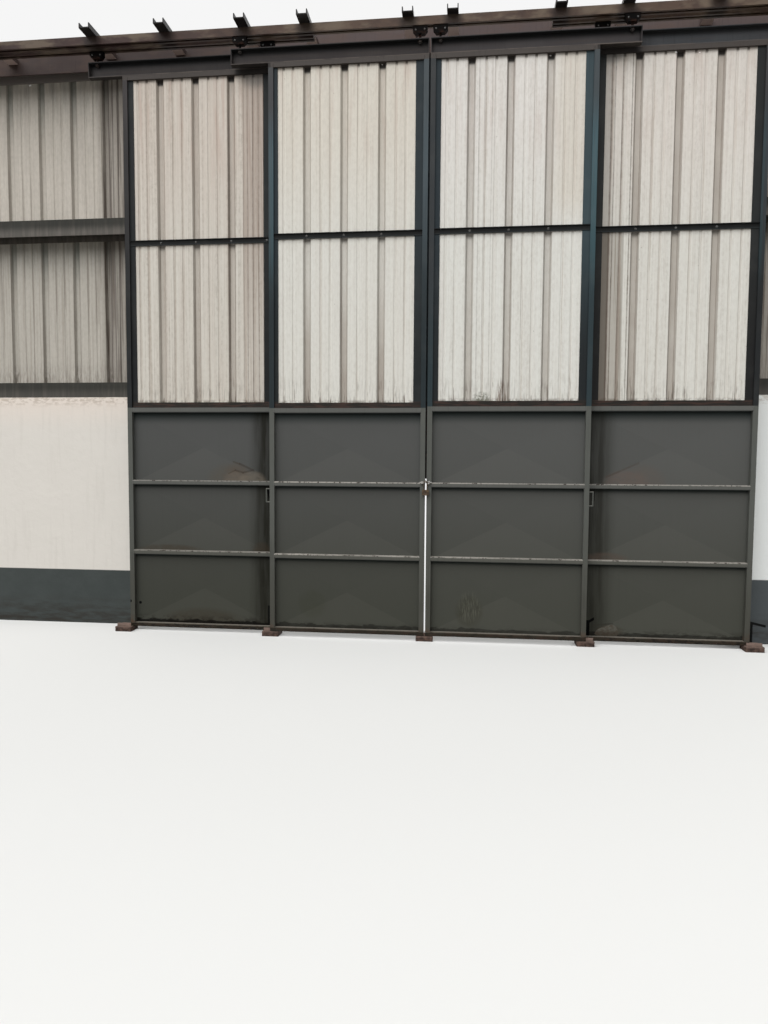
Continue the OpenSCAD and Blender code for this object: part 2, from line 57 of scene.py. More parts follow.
# %% Places
LEAVES = ["left_outer", "left_inner", "right_inner", "right_outer"]
leaf_box = [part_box(leaf + "_stiles") for leaf in LEAVES]
seams_x = [(leaf_box[k][1].x + leaf_box[k + 1][0].x) / 2 for k in range(3)]
inner_face = leaf_box[1][0].y
outer_face = leaf_box[0][0].y
plane_step = outer_face - inner_face
plane_limit = (leaf_box[1][1].y + outer_face) / 2
sheet_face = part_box("left_inner_sheet")[0].y
sheet_low = [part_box(leaf + "_sheet")[0].z for leaf in LEAVES]
sheet_high = [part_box(leaf + "_sheet")[1].z for leaf in LEAVES]
wall_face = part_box("left_dado_wall")[0].y
wall_sheet_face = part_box("wall_sheets")[0].y
dado_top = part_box("left_dado_wall")[1].z
header_low, header_high = (corner.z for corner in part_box("header_beam"))
track_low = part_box("inner_track")[0].z
print("seams", [round(x, 3) for x in seams_x], "faces", round(inner_face, 3), round(outer_face, 3))

# %% Levels of the rails
# The corners of a leaf's rails, sorted by height, give the levels of all its rails.
LEVEL_NAMES = [
    "foot", "foot_inside", "foot_top", "low", "low_top", "high", "high_top", "mid", "mid_top",
    "angle", "angle_leg", "angle_top", "head", "top",
]


def rail_levels(leaf):
    heights = sorted({round(v.co.z, 3) for v in nodes[leaf + "_rails"].data.vertices})
    return dict(zip(LEVEL_NAMES, heights, strict=True))


leaf_levels = [rail_levels(leaf) for leaf in LEAVES]


def level(name):
    """One level on each of the four leaves, from the left."""
    return [levels[name] for levels in leaf_levels]


for leaf, levels in zip(LEAVES, leaf_levels):
    print(leaf, levels)


# %% [markdown]
# ## Camera
# The camera stands indoors at chest height, a little right of the door's middle, and looks slightly
# left and down. The lens was found from the door's own corners.

# %% Camera
EYE = Vector((2.866, -6.413, 1.457))
YAW, PITCH, ROLL = (math.radians(a) for a in (6.45, 3.70, 0.38))
FOCAL_PX = 740
LONG_SIDE_PX = 1024


def aim(yaw, pitch, roll):
    """Rotation of a camera that is turned left by yaw, down by pitch and over by roll."""
    forward = Vector((-math.sin(yaw) * math.cos(pitch), math.cos(yaw) * math.cos(pitch), -math.sin(pitch)))
    side = Vector((math.cos(yaw), math.sin(yaw), 0))
    top = side.cross(forward)
    right = math.cos(roll) * side + math.sin(roll) * top
    up = math.cos(roll) * top - math.sin(roll) * side
    return Matrix((right, up, -forward)).transposed()


lens = bpy.data.cameras.new("eye")
lens.sensor_width = 36
lens.lens = FOCAL_PX / LONG_SIDE_PX * lens.sensor_width
camera = bpy.data.objects.new("eye", lens)
camera.matrix_world = Matrix.Translation(EYE) @ aim(YAW, PITCH, ROLL).to_4x4()
bpy.context.scene.collection.objects.link(camera)
bpy.context.scene.camera = camera
bpy.context.scene.view_settings.view_transform = "Standard"
print("lens", round(lens.lens, 2), "mm")

# %% [markdown]
# ## Numbers and colours in a material
# A material is a net of nodes. Long sums of Math nodes are hard to read, so one small class stands for
# a number on its way through the net: adding or multiplying two of them adds the Math node. A second
# class is the material itself, with one method that adds any node and a few that make patterns. Its
# colour is built up as on the real thing, coat by coat.

# %% Colours as they look on a screen
SRGB_KNEE = 0.04045


def tone(red, green, blue):
    """A colour from 0 to 255 as it looks on a screen, made linear for the shader."""
    shares = [c / 255 for c in (red, green, blue)]
    linear = [c / 12.92 if c < SRGB_KNEE else ((c + 0.055) / 1.055) ** 2.4 for c in shares]
    return (*linear, 1)


BLACK = tone(0, 0, 0)
WHITE = tone(255, 255, 255)
# A near-black, for soot and for painted shade.
SOOT_AND_SHADE = tone(26, 24, 22)


# %% A number on its way through a material
class Value:
    """The output of a node, which can be added, subtracted and multiplied like a number."""

    def __init__(self, finish, socket):
        self.finish = finish
        self.socket = socket

    def worked(self, operation, first, second):
        return self.finish.node("ShaderNodeMath", {"operation": operation}, {0: first, 1: second})

    def __add__(self, other):
        return self.worked("ADD", self, other)

    def __radd__(self, other):
        return self.worked("ADD", other, self)

    def __sub__(self, other):
        return self.worked("SUBTRACT", self, other)

    def __rsub__(self, other):
        return self.worked("SUBTRACT", other, self)

    def __mul__(self, other):
        return self.worked("MULTIPLY", self, other)

    def __rmul__(self, other):
        return self.worked("MULTIPLY", other, self)

    def __gt__(self, other):
        return self.worked("GREATER_THAN", self, other)

    def __lt__(self, other):
        return self.worked("LESS_THAN", self, other)

    def part(self, name):
        """Another output of the same node."""
        return Value(self.finish, self.socket.node.outputs[name])

    def rise(self, low, high):
        """0 at low and 1 at high, smooth between them; low may be the larger number."""
        sockets = {"Value": self, "From Min": low, "From Max": high}
        return self.finish.node("ShaderNodeMapRange", {"interpolation_type": "SMOOTHSTEP"}, sockets)

    def span(self, low, high, soft):
        """1 from low to high and 0 beyond, with soft ends."""
        return self.rise(low - soft, low) * self.rise(high + soft, high)


# %% A material and its patterns
class Finish:
    """One material: its nodes, its colour so far, and the patterns that dirt, rust and wear are made of.

    Three masks say where a point is: right of the middle, on the inner leaves, and facing indoors.
    """

    CLOUD_SHIFT = (3.1, 7.3, 5.7)  # how far each new seed moves a pattern aside
    FLECK_SHIFT = (1.3, 0.7, 2.9)
    SHARP = 0.004  # the soft edge of marks that look sharp, in metres

    def __init__(self, name):
        self.material = bpy.data.materials.new(name)
        self.material.use_nodes = True
        self.tree = self.material.node_tree
        self.shader = self.tree.nodes["Principled BSDF"]
        coordinates = self.node("ShaderNodeTexCoord", {}, {})
        self.place = coordinates.part("Object")
        axes = self.node("ShaderNodeSeparateXYZ", {}, {0: self.place})
        self.x, self.y, self.z = (axes.part(axis) for axis in "XYZ")
        facing = self.node("ShaderNodeSeparateXYZ", {}, {0: coordinates.part("Normal")})
        self.facing_x, self.facing_y, self.facing_z = (facing.part(axis) for axis in "XYZ")
        self.right = self.x > seams_x[1]
        self.in_front = plane_limit > self.y
        self.indoors = self.facing_y.rise(0.05, -0.05)
        self.color = BLACK

    def node(self, kind, settings, sockets, output=0):
        """Adds a node, sets it and fills its sockets, and gives one of its outputs."""
        made = self.tree.nodes.new(kind)
        for name, setting in settings.items():
            setattr(made, name, setting)
        for name, value in sockets.items():
            if isinstance(value, Value):
                self.tree.links.new(value.socket, made.inputs[name])
            else:
                made.inputs[name].default_value = value
        return Value(self, made.outputs[output])

    def most(self, first, second):
        return self.node("ShaderNodeMath", {"operation": "MAXIMUM"}, {0: first, 1: second})

    def mix(self, share, first, second):
        """The first colour where share is 0 and the second where it is 1."""
        sockets = {0: share, 6: first, 7: second}  # 6 and 7 are the ones for colours
        return self.node("ShaderNodeMix", {"data_type": "RGBA"}, sockets, output=2)

    def by_leaf(self, numbers):
        """The number that belongs to the leaf at this place, counted from the left."""
        outer = self.right * (numbers[3] - numbers[0]) + numbers[0]
        inner = self.right * (numbers[2] - numbers[1]) + numbers[1]
        return outer + self.in_front * (inner - outer)

    def leaf_tones(self, tones):
        """The colour that belongs to the leaf at this place."""
        outer = self.mix(self.right, tones[0], tones[3])
        inner = self.mix(self.right, tones[1], tones[2])
        return self.mix(self.in_front, outer, inner)

    def scaled(self, size, seed, shift):
        """The place in steps of size = (x, y, z) metres, moved aside by a shift for each seed."""
        sockets = {0: self.place, 1: [1 / s for s in size], 2: [seed * s for s in shift]}
        return self.node("ShaderNodeVectorMath", {"operation": "MULTIPLY_ADD"}, sockets)

    def cloud(self, size, seed, detail=3.0):
        """Blotches about size metres across, from 0 to 1 and mostly near 0.5; size may be (x, y, z)."""
        size = size if isinstance(size, tuple) else (size, size, size)
        sockets = {"Vector": self.scaled(size, seed, self.CLOUD_SHIFT), "Scale": 1, "Detail": detail}
        return self.node("ShaderNodeTexNoise", {}, sockets | {"Roughness": 0.6})

    def spots(self, size, seed, low, high):
        """The same blotches with a contrast of their own: 0 below low and 1 above high."""
        return self.cloud(size, seed).rise(low, high)

    def flecks(self, spacing, size, seed):
        """1 in small round flecks of that size, about spacing metres apart."""
        point = self.scaled((spacing, spacing, spacing), seed, self.FLECK_SHIFT)
        distance = self.node("ShaderNodeTexVoronoi", {}, {"Vector": point, "Scale": 1})
        return distance.rise(size / spacing, size / spacing * 0.5)

    def patch(self, x, z, half_width, half_height, soft=0.5):
        """1 in an ellipse round a place on the wall, and 0 outside it."""
        across = (self.x - x) * (1 / half_width)
        along = (self.z - z) * (1 / half_height)
        return (across * across + along * along).rise(1.0, 1.0 - soft)

    def stroke(self, x, z, x_end, z_end, half_width):
        """1 on a straight line on the wall between two places, from left to right."""
        slope = (z_end - z) / (x_end - x)
        off = self.z - ((self.x - x) * slope + z)
        across = (off * off).rise((half_width * 1.3) ** 2, (half_width * 0.7) ** 2)
        return across * self.x.span(x, x_end, self.SHARP)

    def upright(self, x, x_end, z, z_end):
        """1 in an upright band on the wall."""
        half = self.SHARP / 2
        return self.x.span(x + half, x_end - half, self.SHARP) * self.z.span(z, z_end, self.SHARP)

    def coat(self, share, color):
        """Lays one more colour over the finish, as strong as share."""
        self.color = self.mix(share, self.color, color)

    def done(self, roughness, height=None, depth=0.001, metallic=0.0, specular=0.15):
        """Joins colour, roughness and relief to the shader and gives the material."""
        self.shader.inputs["Specular IOR Level"].default_value = specular
        looks = {"Base Color": self.color, "Roughness": roughness, "Metallic": metallic}
        for name, value in looks.items():
            if isinstance(value, Value):
                self.tree.links.new(value.socket, self.shader.inputs[name])
            else:
                self.shader.inputs[name].default_value = value
        if height is not None:
            bump = self.node("ShaderNodeBump", {}, {"Strength": 1.0, "Distance": depth, "Height": height})
            self.tree.links.new(bump.socket, self.shader.inputs["Normal"])
        return self.material


# %% [markdown]
# ## Sheeting
# Corrugated sheet is coil-coated steel. The white coat chalks and yellows, dust and fumes run down it
# in narrow streaks, and the big ribs, which are the deepest, are darker. The depth of a point
# behind the flat pans is its Y, so the material reads Y to find the ribs. The outer leaves hang one
# step behind the inner ones, so the same sum serves all four leaves when Y is taken modulo that step.

# %% Ribs
RIB_DEPTH = 0.025
SWAGE_DEPTH = 0.004
NUDGE = 0.001


def rib_masks(finish, face, step):
    """Where the big ribs and the small ones are, and the left and right side walls of the big ones."""
    behind = finish.y - (face - NUDGE)
    depth = finish.node("ShaderNodeMath", {"operation": "FLOORED_MODULO"}, {0: behind, 1: step}) - NUDGE
    big = depth.rise(SWAGE_DEPTH * 1.3, RIB_DEPTH * 0.85)
    small = depth.rise(SWAGE_DEPTH * 0.1, SWAGE_DEPTH * 0.8) * (1 - big)
    deep = depth.rise(SWAGE_DEPTH * 1.05, SWAGE_DEPTH * 1.5)
    left_wall = finish.facing_x.rise(0.25, 0.8)
    right_wall = finish.facing_x.rise(-0.25, -0.8)
    return big, small, left_wall * deep, right_wall * deep


# %% [markdown]
# The sheets of the leaves are the palest thing on the door. Each leaf has kept its own white, and thin
# streaks and a fine grain lie all over it. Streaks are the same blotches as elsewhere, drawn out along Z.

# %% White of the leaf sheets
def sheet_streaks(finish):
    """Fine, thin and broad streaks down the sheets, and the grain of their coat."""
    fine = finish.spots((0.009, 1, 1.1), 1, 0.40, 0.75)
    thin = finish.spots((0.020, 1, 2.2), 2, 0.47, 0.62)
    broad = finish.spots((0.08, 1, 2.6), 3, 0.42, 0.68)
    grain = finish.spots((0.018, 1, 0.035), 59, 0.35, 0.75)
    return fine, thin, broad, grain


def aged_white(finish, fine, thin, broad, grain):
    """Each leaf's own white under its streaks."""
    high = [tone(200, 192, 182), tone(207, 202, 191), tone(214, 211, 206), tone(211, 206, 199)]
    low = [tone(200, 196, 187), tone(209, 208, 201), tone(211, 211, 205), tone(208, 207, 200)]
    upward = finish.z.rise(3.0, 4.3)
    finish.color = finish.mix(upward, finish.leaf_tones(low), finish.leaf_tones(high))
    yellow = finish.x.rise(3.40, 3.60) * (seams_x[2] > finish.x) * finish.z.rise(3.3, 3.6)
    finish.coat(yellow * 0.7, tone(203, 197, 185))
    finish.coat(grain * 0.14, tone(150, 142, 130))
    finish.coat(fine * finish.by_leaf([0.30, 0.14, 0.14, 0.18]), tone(164, 153, 140))
    finish.coat(broad * finish.by_leaf([0.22, 0.08, 0.08, 0.10]), tone(182, 168, 157))
    finish.coat(thin * finish.by_leaf([0.24, 0.06, 0.09, 0.12]) * (0.5 + grain), tone(132, 118, 104))
    stain = finish.spots((0.05, 1, 0.7), 4, 0.48, 0.70) * finish.z.rise(3.4, 4.6)
    finish.coat(stain * finish.by_leaf([0.75, 0.40, 0.30, 0.30]), tone(176, 156, 144))


# %% [markdown]
# Beside the outer seams the sheets have gone brown, in strips and in single lines down their length.
# The lines are joined by taking the most of them, so that they don't add up where they meet.

# %% Brown strips and lines
# Brown lines down the sheets: x and half their width
BROWN_LINES = (
    (3.944, 0.016), (3.968, 0.006), (4.027, 0.012), (4.097, 0.008), (0.853, 0.009), (0.903, 0.007),
    (1.015, 0.009), (1.062, 0.008), (1.110, 0.010), (2.915, 0.007), (2.968, 0.005), (3.016, 0.004),
    (3.180, 0.005),
)
# Edges of the brown strips: where the brown starts and where it is full
LEFT_STRIP = (0.968, 0.985)
RIGHT_STRIP = ((3.94, 3.95), (4.066, 4.056))
DARK_EDGE = (3.952, 3.944)


def brown_edges(finish, fine, thin, grain):
    """Brown strips on both sides of the outer seams, and single lines."""
    inside = finish.indoors
    brown_left = finish.x.rise(*LEFT_STRIP) * (seams_x[0] > finish.x) * inside
    brown_left = brown_left * (0.35 + 0.65 * finish.z.rise(2.2, 3.6))
    finish.coat(brown_left * (0.50 + 0.45 * fine), tone(150, 134, 123))
    brown_right = finish.x.rise(*RIGHT_STRIP[0]) * finish.x.rise(*RIGHT_STRIP[1]) * inside
    lower_bay = finish.z.rise(3.32, 3.28)
    brown_right = brown_right * (0.12 + 0.88 * lower_bay)
    finish.coat(brown_right * (0.50 + 0.35 * thin), tone(132, 124, 113))
    edge = finish.x.rise(*DARK_EDGE) * (finish.x > seams_x[2]) * inside
    finish.coat(edge * (0.42 + 0.50 * lower_bay), tone(90, 82, 72))
    lines = 0
    for x, half_width in BROWN_LINES:
        lines = finish.most(lines, finish.x.span(x, x, half_width))
    strength = finish.by_leaf([0.55, 0, 0.45, 0.85]) * (0.55 + 0.3 * fine + 0.3 * grain)
    finish.coat(lines * strength * inside, tone(78, 64, 54))


# %% [markdown]
# The ribs are darker than the pans: the small ones a little, and the bottoms of the big ones more.
# The left walls of the big ones are painted darkest as shade, since the light comes from the left and
# they face away from it; their right walls are darkened a little.

# %% Darker ribs and painted shade on their walls
def darker_and_shaded_ribs(finish, big, small, walls, thin, broad):
    """Darker small and big ribs, painted shade on the left walls of the big ones, and darker right walls."""
    inside = finish.indoors
    low_part = finish.z.rise(3.1, 2.1)
    left_wall, right_wall = walls
    finish.coat(small * (finish.by_leaf([0.16, 0.04, 0.10, 0.16]) + 0.30 * thin), tone(156, 145, 134))
    crest = finish.by_leaf([0.45, 0.24, 0.38, 0.66]) + low_part * finish.by_leaf([0.05, 0.58, 0.14, 0.05])
    uneven = 0.65 + 0.7 * finish.cloud((0.2, 1, 0.25), 60)
    finish.coat(big * crest * uneven * inside, tone(152, 143, 133))
    # Painted shade on the left walls of the big ribs, which face away from the light.
    finish.coat(left_wall * (0.22 + 0.30 * broad) * uneven * inside, tone(74, 66, 60))
    finish.coat(right_wall * 0.30 * inside, tone(110, 100, 92))


# %% [markdown]
# Water that splashes off the mid rail leaves short upright marks along the lower edge of the sheets, a
# dark line where it stands, and moss and rust in one corner.

# %% Splashes above the mid rail
def splashes(finish, big, small):
    """Marks of water along the lower edge of the sheets."""
    inside = finish.indoors
    above_low = finish.z - finish.by_leaf(sheet_low)
    marks = above_low.rise(0.34, 0.02) * finish.spots((0.013, 1, 0.14), 5, 0.50, 0.66) * inside
    finish.coat(marks * (0.35 + 0.45 * finish.most(big, small)), tone(82, 72, 62))
    sill = above_low.rise(0.075, 0.045) * finish.spots((0.03, 1, 0.03), 6, 0.38, 0.60) * inside
    finish.coat(sill * 0.6, tone(78, 66, 56))
    moss = finish.patch(2.965, 1.985, 0.09, 0.07, 0.9) * finish.spots((0.02, 1, 0.02), 7, 0.35, 0.6) * inside
    finish.coat(moss * 0.8, tone(92, 94, 80))
    drip = finish.patch(3.12, 1.98, 0.05, 0.20, 0.9) * finish.spots((0.012, 1, 0.1), 8, 0.35, 0.6) * inside
    finish.coat(drip * 0.8, tone(100, 80, 68))


# %% [markdown]
# Under the top rail and the angle rail the sheets lie in painted shade: the ends of the big ribs are
# painted black, and painted shadow lies under the carrying channels. A few small holes along the top
# let the day through, and the daylight in them is painted white.

# %% Leaf sheeting
# Holes along the top where the day shows, painted white: x, z and half their width
PAINTED_DAYLIGHT_HOLES = ((2.143, 4.630, 0.007), (3.457, 4.628, 0.008), (4.415, 4.640, 0.012), (4.589, 4.627, 0.006))


def shade_at_top(finish, big, small):
    """Painted shade and painted daylight along the top of the sheets, and specks all over them."""
    inside = finish.indoors
    below_top = finish.by_leaf(sheet_high) - finish.z
    # Painted shade: the ends of the big ribs go black under the top rail, and the pans get a scalloped dark
    # edge.
    hidden = below_top.rise(0.050, 0.025) * big * inside
    finish.coat(hidden * 0.95, SOOT_AND_SHADE)
    scallop = below_top.rise(0.030, 0.008) * (0.35 + 0.65 * small) * inside
    finish.coat(scallop * 0.75, tone(56, 48, 44))
    below_angle = finish.by_leaf(level("angle")) - finish.z
    shade = below_angle.rise(0.05, 0.0) * below_angle.rise(-0.05, -0.03) * inside
    finish.coat(shade * (0.25 + 0.45 * big), tone(84, 80, 76))
    # Painted shadow under the ends of the inner leaves' carrying channels.
    painted_channel_shadow = finish.patch(1.10, 4.66, 0.20, 0.16, 0.9) + finish.patch(3.93, 4.66, 0.14, 0.10, 0.9)
    finish.coat(painted_channel_shadow * inside * 0.55, tone(96, 98, 98))
    finish.coat(finish.flecks(0.16, 0.004, 5) * 0.7, tone(70, 58, 48))
    for x, z, size in PAINTED_DAYLIGHT_HOLES:
        finish.coat(finish.patch(x, z, size, size * 0.7) * inside, WHITE)


def leaf_sheeting():
    finish = Finish("white sheeting of the leaves")
    big, small, *walls = rib_masks(finish, sheet_face, plane_step)
    fine, thin, broad, grain = sheet_streaks(finish)
    aged_white(finish, fine, thin, broad, grain)
    brown_edges(finish, fine, thin, grain)
    darker_and_shaded_ribs(finish, big, small, walls, thin, broad)
    splashes(finish, big, small)
    shade_at_top(finish, big, small)
    return finish.done(0.5 + 0.25 * fine, finish.cloud((0.012, 1, 1.6), 1), 0.0004, specular=0.25)


# %% [markdown]
# The sheets of the wall are older and greyer, and darkest under the header and the upper girt, where
# painted shade lies with soot. Their ribs all stand one pitch apart, so one rib's place gives the rest.
# They all hang on one plane, so the step between planes can be any length that is more than a rib's depth.

# %% Wall sheeting
WALL_RIB = -0.401
RIB_PITCH = 0.305
ONE_PLANE = 1.0
SILL_TOP = 2.165
UPPER_GIRT = 3.45
LINES_BY_POST = (-0.385, -0.338, -0.292)


def wall_sheeting():
    finish = Finish("grey sheeting of the wall")
    big, small, left_wall, right_wall = rib_masks(finish, wall_sheet_face, ONE_PLANE)
    inside = finish.indoors
    fine = finish.spots((0.011, 1, 0.9), 9, 0.40, 0.72)
    thin = finish.spots((0.025, 1, 1.2), 10, 0.47, 0.62)
    grain = finish.spots((0.02, 1, 0.04), 69, 0.35, 0.70)
    sockets = {0: finish.x - WALL_RIB, 1: RIB_PITCH}
    across = finish.node("ShaderNodeMath", {"operation": "FLOORED_MODULO"}, sockets)
    finish.color = finish.mix(finish.cloud((0.4, 1, 0.6), 11), tone(200, 193, 183), tone(182, 176, 166))
    lower = finish.z.rise(UPPER_GIRT + 0.05, UPPER_GIRT - 0.05) * inside
    finish.coat(lower * 0.45, tone(160, 158, 150))
    finish.coat(grain * 0.15, tone(120, 112, 102))
    finish.coat(fine * 0.14, tone(140, 132, 121))
    finish.coat(thin * (0.12 + 0.16 * lower), tone(118, 108, 98))
    finish.coat(small * (0.06 + 0.3 * thin), tone(120, 113, 104))
    # Painted shade under the header and the upper girt, laid first in the big ribs.
    below_girt = UPPER_GIRT - finish.z
    below_girt = below_girt.rise(0.50, 0.0) * below_girt.rise(-0.02, 0.0)
    below = finish.most((header_low - finish.z).rise(0.60, 0.02), below_girt)
    finish.coat(big * inside * (0.06 + 0.42 * below), tone(96, 104, 98))
    dark_side = big * inside * across.rise(0.004, 0.014) * across.rise(0.060, 0.040)
    finish.coat(dark_side * 0.15, tone(84, 74, 66))
    finish.coat((left_wall * 0.12 + right_wall * (0.10 + 0.20 * lower)) * inside, tone(64, 60, 56))
    # More painted shade, with soot, over the whole sheet under the header and the girt.
    shade_and_soot = below * below * (0.35 + 0.65 * finish.spots((0.05, 1, 0.3), 12, 0.35, 0.65)) * inside
    finish.coat(shade_and_soot * 0.38, tone(84, 92, 88))
    above_sill = finish.z - SILL_TOP
    marks = above_sill.rise(0.24, 0.02) * finish.spots((0.015, 1, 0.10), 13, 0.44, 0.60) * inside
    finish.coat(marks * (0.35 + 0.4 * big), tone(78, 68, 58))
    near_post = finish.x.rise(-0.50, -0.42) * (1 > finish.x)
    near_post = finish.most(near_post, finish.x.rise(5.55, 5.47) * (finish.x > 4))
    finish.coat(near_post * inside * (0.34 + 0.40 * thin + 0.15 * big), tone(74, 63, 55))
    for x in LINES_BY_POST:
        finish.coat(finish.x.span(x, x, 0.010) * inside * 0.55, tone(58, 50, 44))
    # A small hole where the day shows, painted white.
    finish.coat(finish.patch(-1.115, 4.850, 0.016, 0.009) * inside, WHITE)
    return finish.done(0.55 + 0.2 * fine, finish.cloud((0.012, 1, 1.2), 9), 0.0004, specular=0.25)


# %% [markdown]
# ## Painted steel
# The frames are brushed with slate paint, bluer above the mid rail and greyer below it, where the
# lower plates were painted over later. Dust settles on every ledge, and rust creeps up from the floor.

# %% Dust and brush marks
DUST = tone(138, 133, 124)
RUST = tone(82, 56, 40)


def dust(finish, amount=0.8):
    """Lays dust on what faces up."""
    ledge = finish.facing_z.rise(0.4, 0.9) * (0.6 + 0.4 * finish.cloud(0.05, 9))
    finish.coat(ledge * amount, DUST)


def brush_marks(finish, seed, amount=0.12):
    """Lays on the faint cloudiness of paint put on by hand."""
    lighter = finish.mix(0.06, finish.color, tone(150, 150, 145))
    patches = finish.spots(0.25, seed, 0.45, 0.75)
    streaks = finish.spots((0.012, 0.012, 0.5), seed + 1, 0.5, 0.8)
    finish.coat(patches * amount * 4, lighter)
    finish.coat(streaks * amount * 2, BLACK)


def old_paint(finish, grain, seed, dust_amount=0.8):
    """Puts dust on the ledges and gives old paint its faint grain, which ends most painted finishes."""
    dust(finish, dust_amount)
    return finish.done(0.6, finish.cloud(grain, seed), 0.0005)


# %% [markdown]
# Stiles are square tubes. Each leaf's pair has faded in its own way, with teal streaks where an older
# coat shows, and the feet rust because the rain gets in under the door.

# %% Stiles of the leaves
def leaf_stiles():
    finish = Finish("slate paint of the stiles")
    tones = [tone(46, 45, 45), tone(68, 78, 83), tone(68, 85, 91), tone(50, 54, 57)]
    middle = finish.leaf_tones([tone(30, 32, 33), tone(34, 42, 45), tone(40, 52, 56), tone(30, 32, 33)])
    upper = finish.mix(finish.z.rise(2.6, 3.9), middle, finish.leaf_tones(tones))
    ends = (finish.x.rise(1.8, 1.3) + finish.x.rise(3.4, 3.8)) * finish.in_front
    beside_gap = finish.x.rise(2.8, 2.7) * finish.right * finish.z.rise(2.2, 3.2)
    upper = finish.mix(beside_gap, upper, tone(47, 50, 52))
    greyer = finish.by_leaf([0.8, 0.25, 0.1, 0.6]) + ends * 0.5
    upper = finish.mix(finish.z.rise(4.0, 4.4) * greyer, upper, tone(62, 59, 59))
    teal = finish.spots((0.015, 0.015, 2.0), 14, 0.40, 0.55) * finish.z.span(3.2, 3.9, 0.45)
    upper = finish.mix(teal * (ends * 0.24 + finish.by_leaf([0, 0, 0, 0.15])), upper, tone(50, 93, 101))
    lower = finish.mix(finish.z.rise(0.1, 1.2), tone(66, 66, 60), tone(81, 83, 79))
    above_mid = finish.z - finish.by_leaf(level("mid_top"))
    finish.color = finish.mix(above_mid.rise(-0.002, 0.002), lower, upper)
    foot = finish.z.rise(0.16, 0.03) * finish.spots(0.04, 15, 0.35, 0.65)
    brush_marks(finish, 16)
    finish.coat(foot * 0.7, RUST)
    # A small hole, painted black as the shade inside it.
    finish.coat(finish.patch(-0.044, 0.252, 0.012, 0.014) * finish.indoors, BLACK)
    return old_paint(finish, (0.02, 0.02, 0.06), 17)


# %% [markdown]
# The rails have lips that get leaned on and knocked. That wears the paint off their rims to bare steel
# with rust between, and the bottom channel flakes.

# %% Paint, lips and foot of the rails
def rail_paint(finish):
    """The paint of the rails, with painted shadow where they lie behind the carrying channels."""
    finish.color = finish.mix(finish.z.rise(0.4, 1.6), tone(77, 77, 71), tone(86, 87, 84))
    finish.coat((finish.z - finish.by_leaf(level("mid_top"))).rise(0.2, 0.3), tone(68, 63, 60))
    # Painted shadow, nearly black, on the outer leaves' top rails behind the carrying channels.
    painted_channel_shadow = finish.x.rise(0.90, 0.94) * (seams_x[0] > finish.x)
    painted_channel_shadow = painted_channel_shadow + finish.x.rise(4.17, 4.13) * (finish.x > seams_x[2])
    finish.coat(painted_channel_shadow * (finish.z > 4) * 0.6, tone(10, 11, 14))


def rubbed_lips(finish, worn):
    """Bright rims on the lips, with rust between, and the shade under the rails' lower rims."""
    rusty = finish.spots((0.025, 0.05, 0.02), 19, 0.56, 0.62)
    for name in ("low_top", "high_top"):
        under = finish.by_leaf(level(name)) - finish.z
        lip = under.rise(0.011, 0.006) * under.rise(-0.004, -0.002)
        bright = finish.by_leaf([0.50, 1.0, 0.85, 0.75]) * (0.30 + 0.65 * worn)
        finish.coat(lip * bright, tone(166, 162, 155))
        finish.coat(lip * rusty * 0.9, tone(36, 27, 22))
    for name in ("low", "high", "mid"):
        over = finish.z - finish.by_leaf(level(name))
        rim = over.rise(0.008, 0.003) * over.rise(-0.004, -0.002)
        finish.coat(rim * 0.65, tone(30, 32, 32))


def flaked_foot(finish, worn):
    """The bottom channel, whose paint has gone to rust and black patches."""
    foot_top = finish.by_leaf(level("foot_top")) - finish.z
    foot = foot_top.rise(-0.01, 0.0)
    finish.coat(foot, tone(34, 31, 23))
    finish.coat(foot * finish.spots((0.08, 0.05, 0.02), 20, 0.4, 0.6) * 0.7, tone(46, 34, 26))
    flaked = finish.spots((0.05, 0.05, 0.03), 70, 0.50, 0.56) * finish.by_leaf([1.0, 0.3, 0.4, 1.0])
    finish.coat(foot * flaked * 0.85, tone(14, 11, 8))
    edge = foot * foot_top.rise(0.008, 0.005) * worn
    finish.coat(edge * 0.35, tone(110, 103, 92))


# %% [markdown]
# The angle rail across the sheeting is the darkest of them: above its lower rim it is painted nearly
# black as the shade under its level leg, and the leg that lies level takes hardly any dust.

# %% Rails of the leaves
def leaf_rails():
    finish = Finish("slate paint of the rails")
    rail_paint(finish)
    worn = finish.spots((0.03, 0.09, 0.02), 18, 0.36, 0.46) * finish.spots((0.5, 0.5, 0.1), 61, 0.25, 0.6)
    rubbed_lips(finish, worn)
    flaked_foot(finish, worn)
    angle_low = finish.z - finish.by_leaf(level("angle"))
    on_angle = angle_low.span(-0.01, 0.05, 0.01)
    # Dark paint at the lower rim, and painted shade, nearly black, above it under the level leg.
    angle_paint_and_shade = finish.mix(angle_low.rise(0.002, 0.016), tone(29, 33, 34), tone(8, 9, 9))
    finish.coat(on_angle, angle_paint_and_shade)
    brush_marks(finish, 21, 0.08)
    level_leg = angle_low.rise(0.036, 0.040) * on_angle
    return old_paint(finish, (0.02, 0.02, 0.06), 22, 0.65 - 0.6 * level_leg)


# %% [markdown]
# The strips that clamp the sheeting are thin flat bars, painted darker than the stiles. Water that
# runs down them stands on the mid rail and stains their feet.

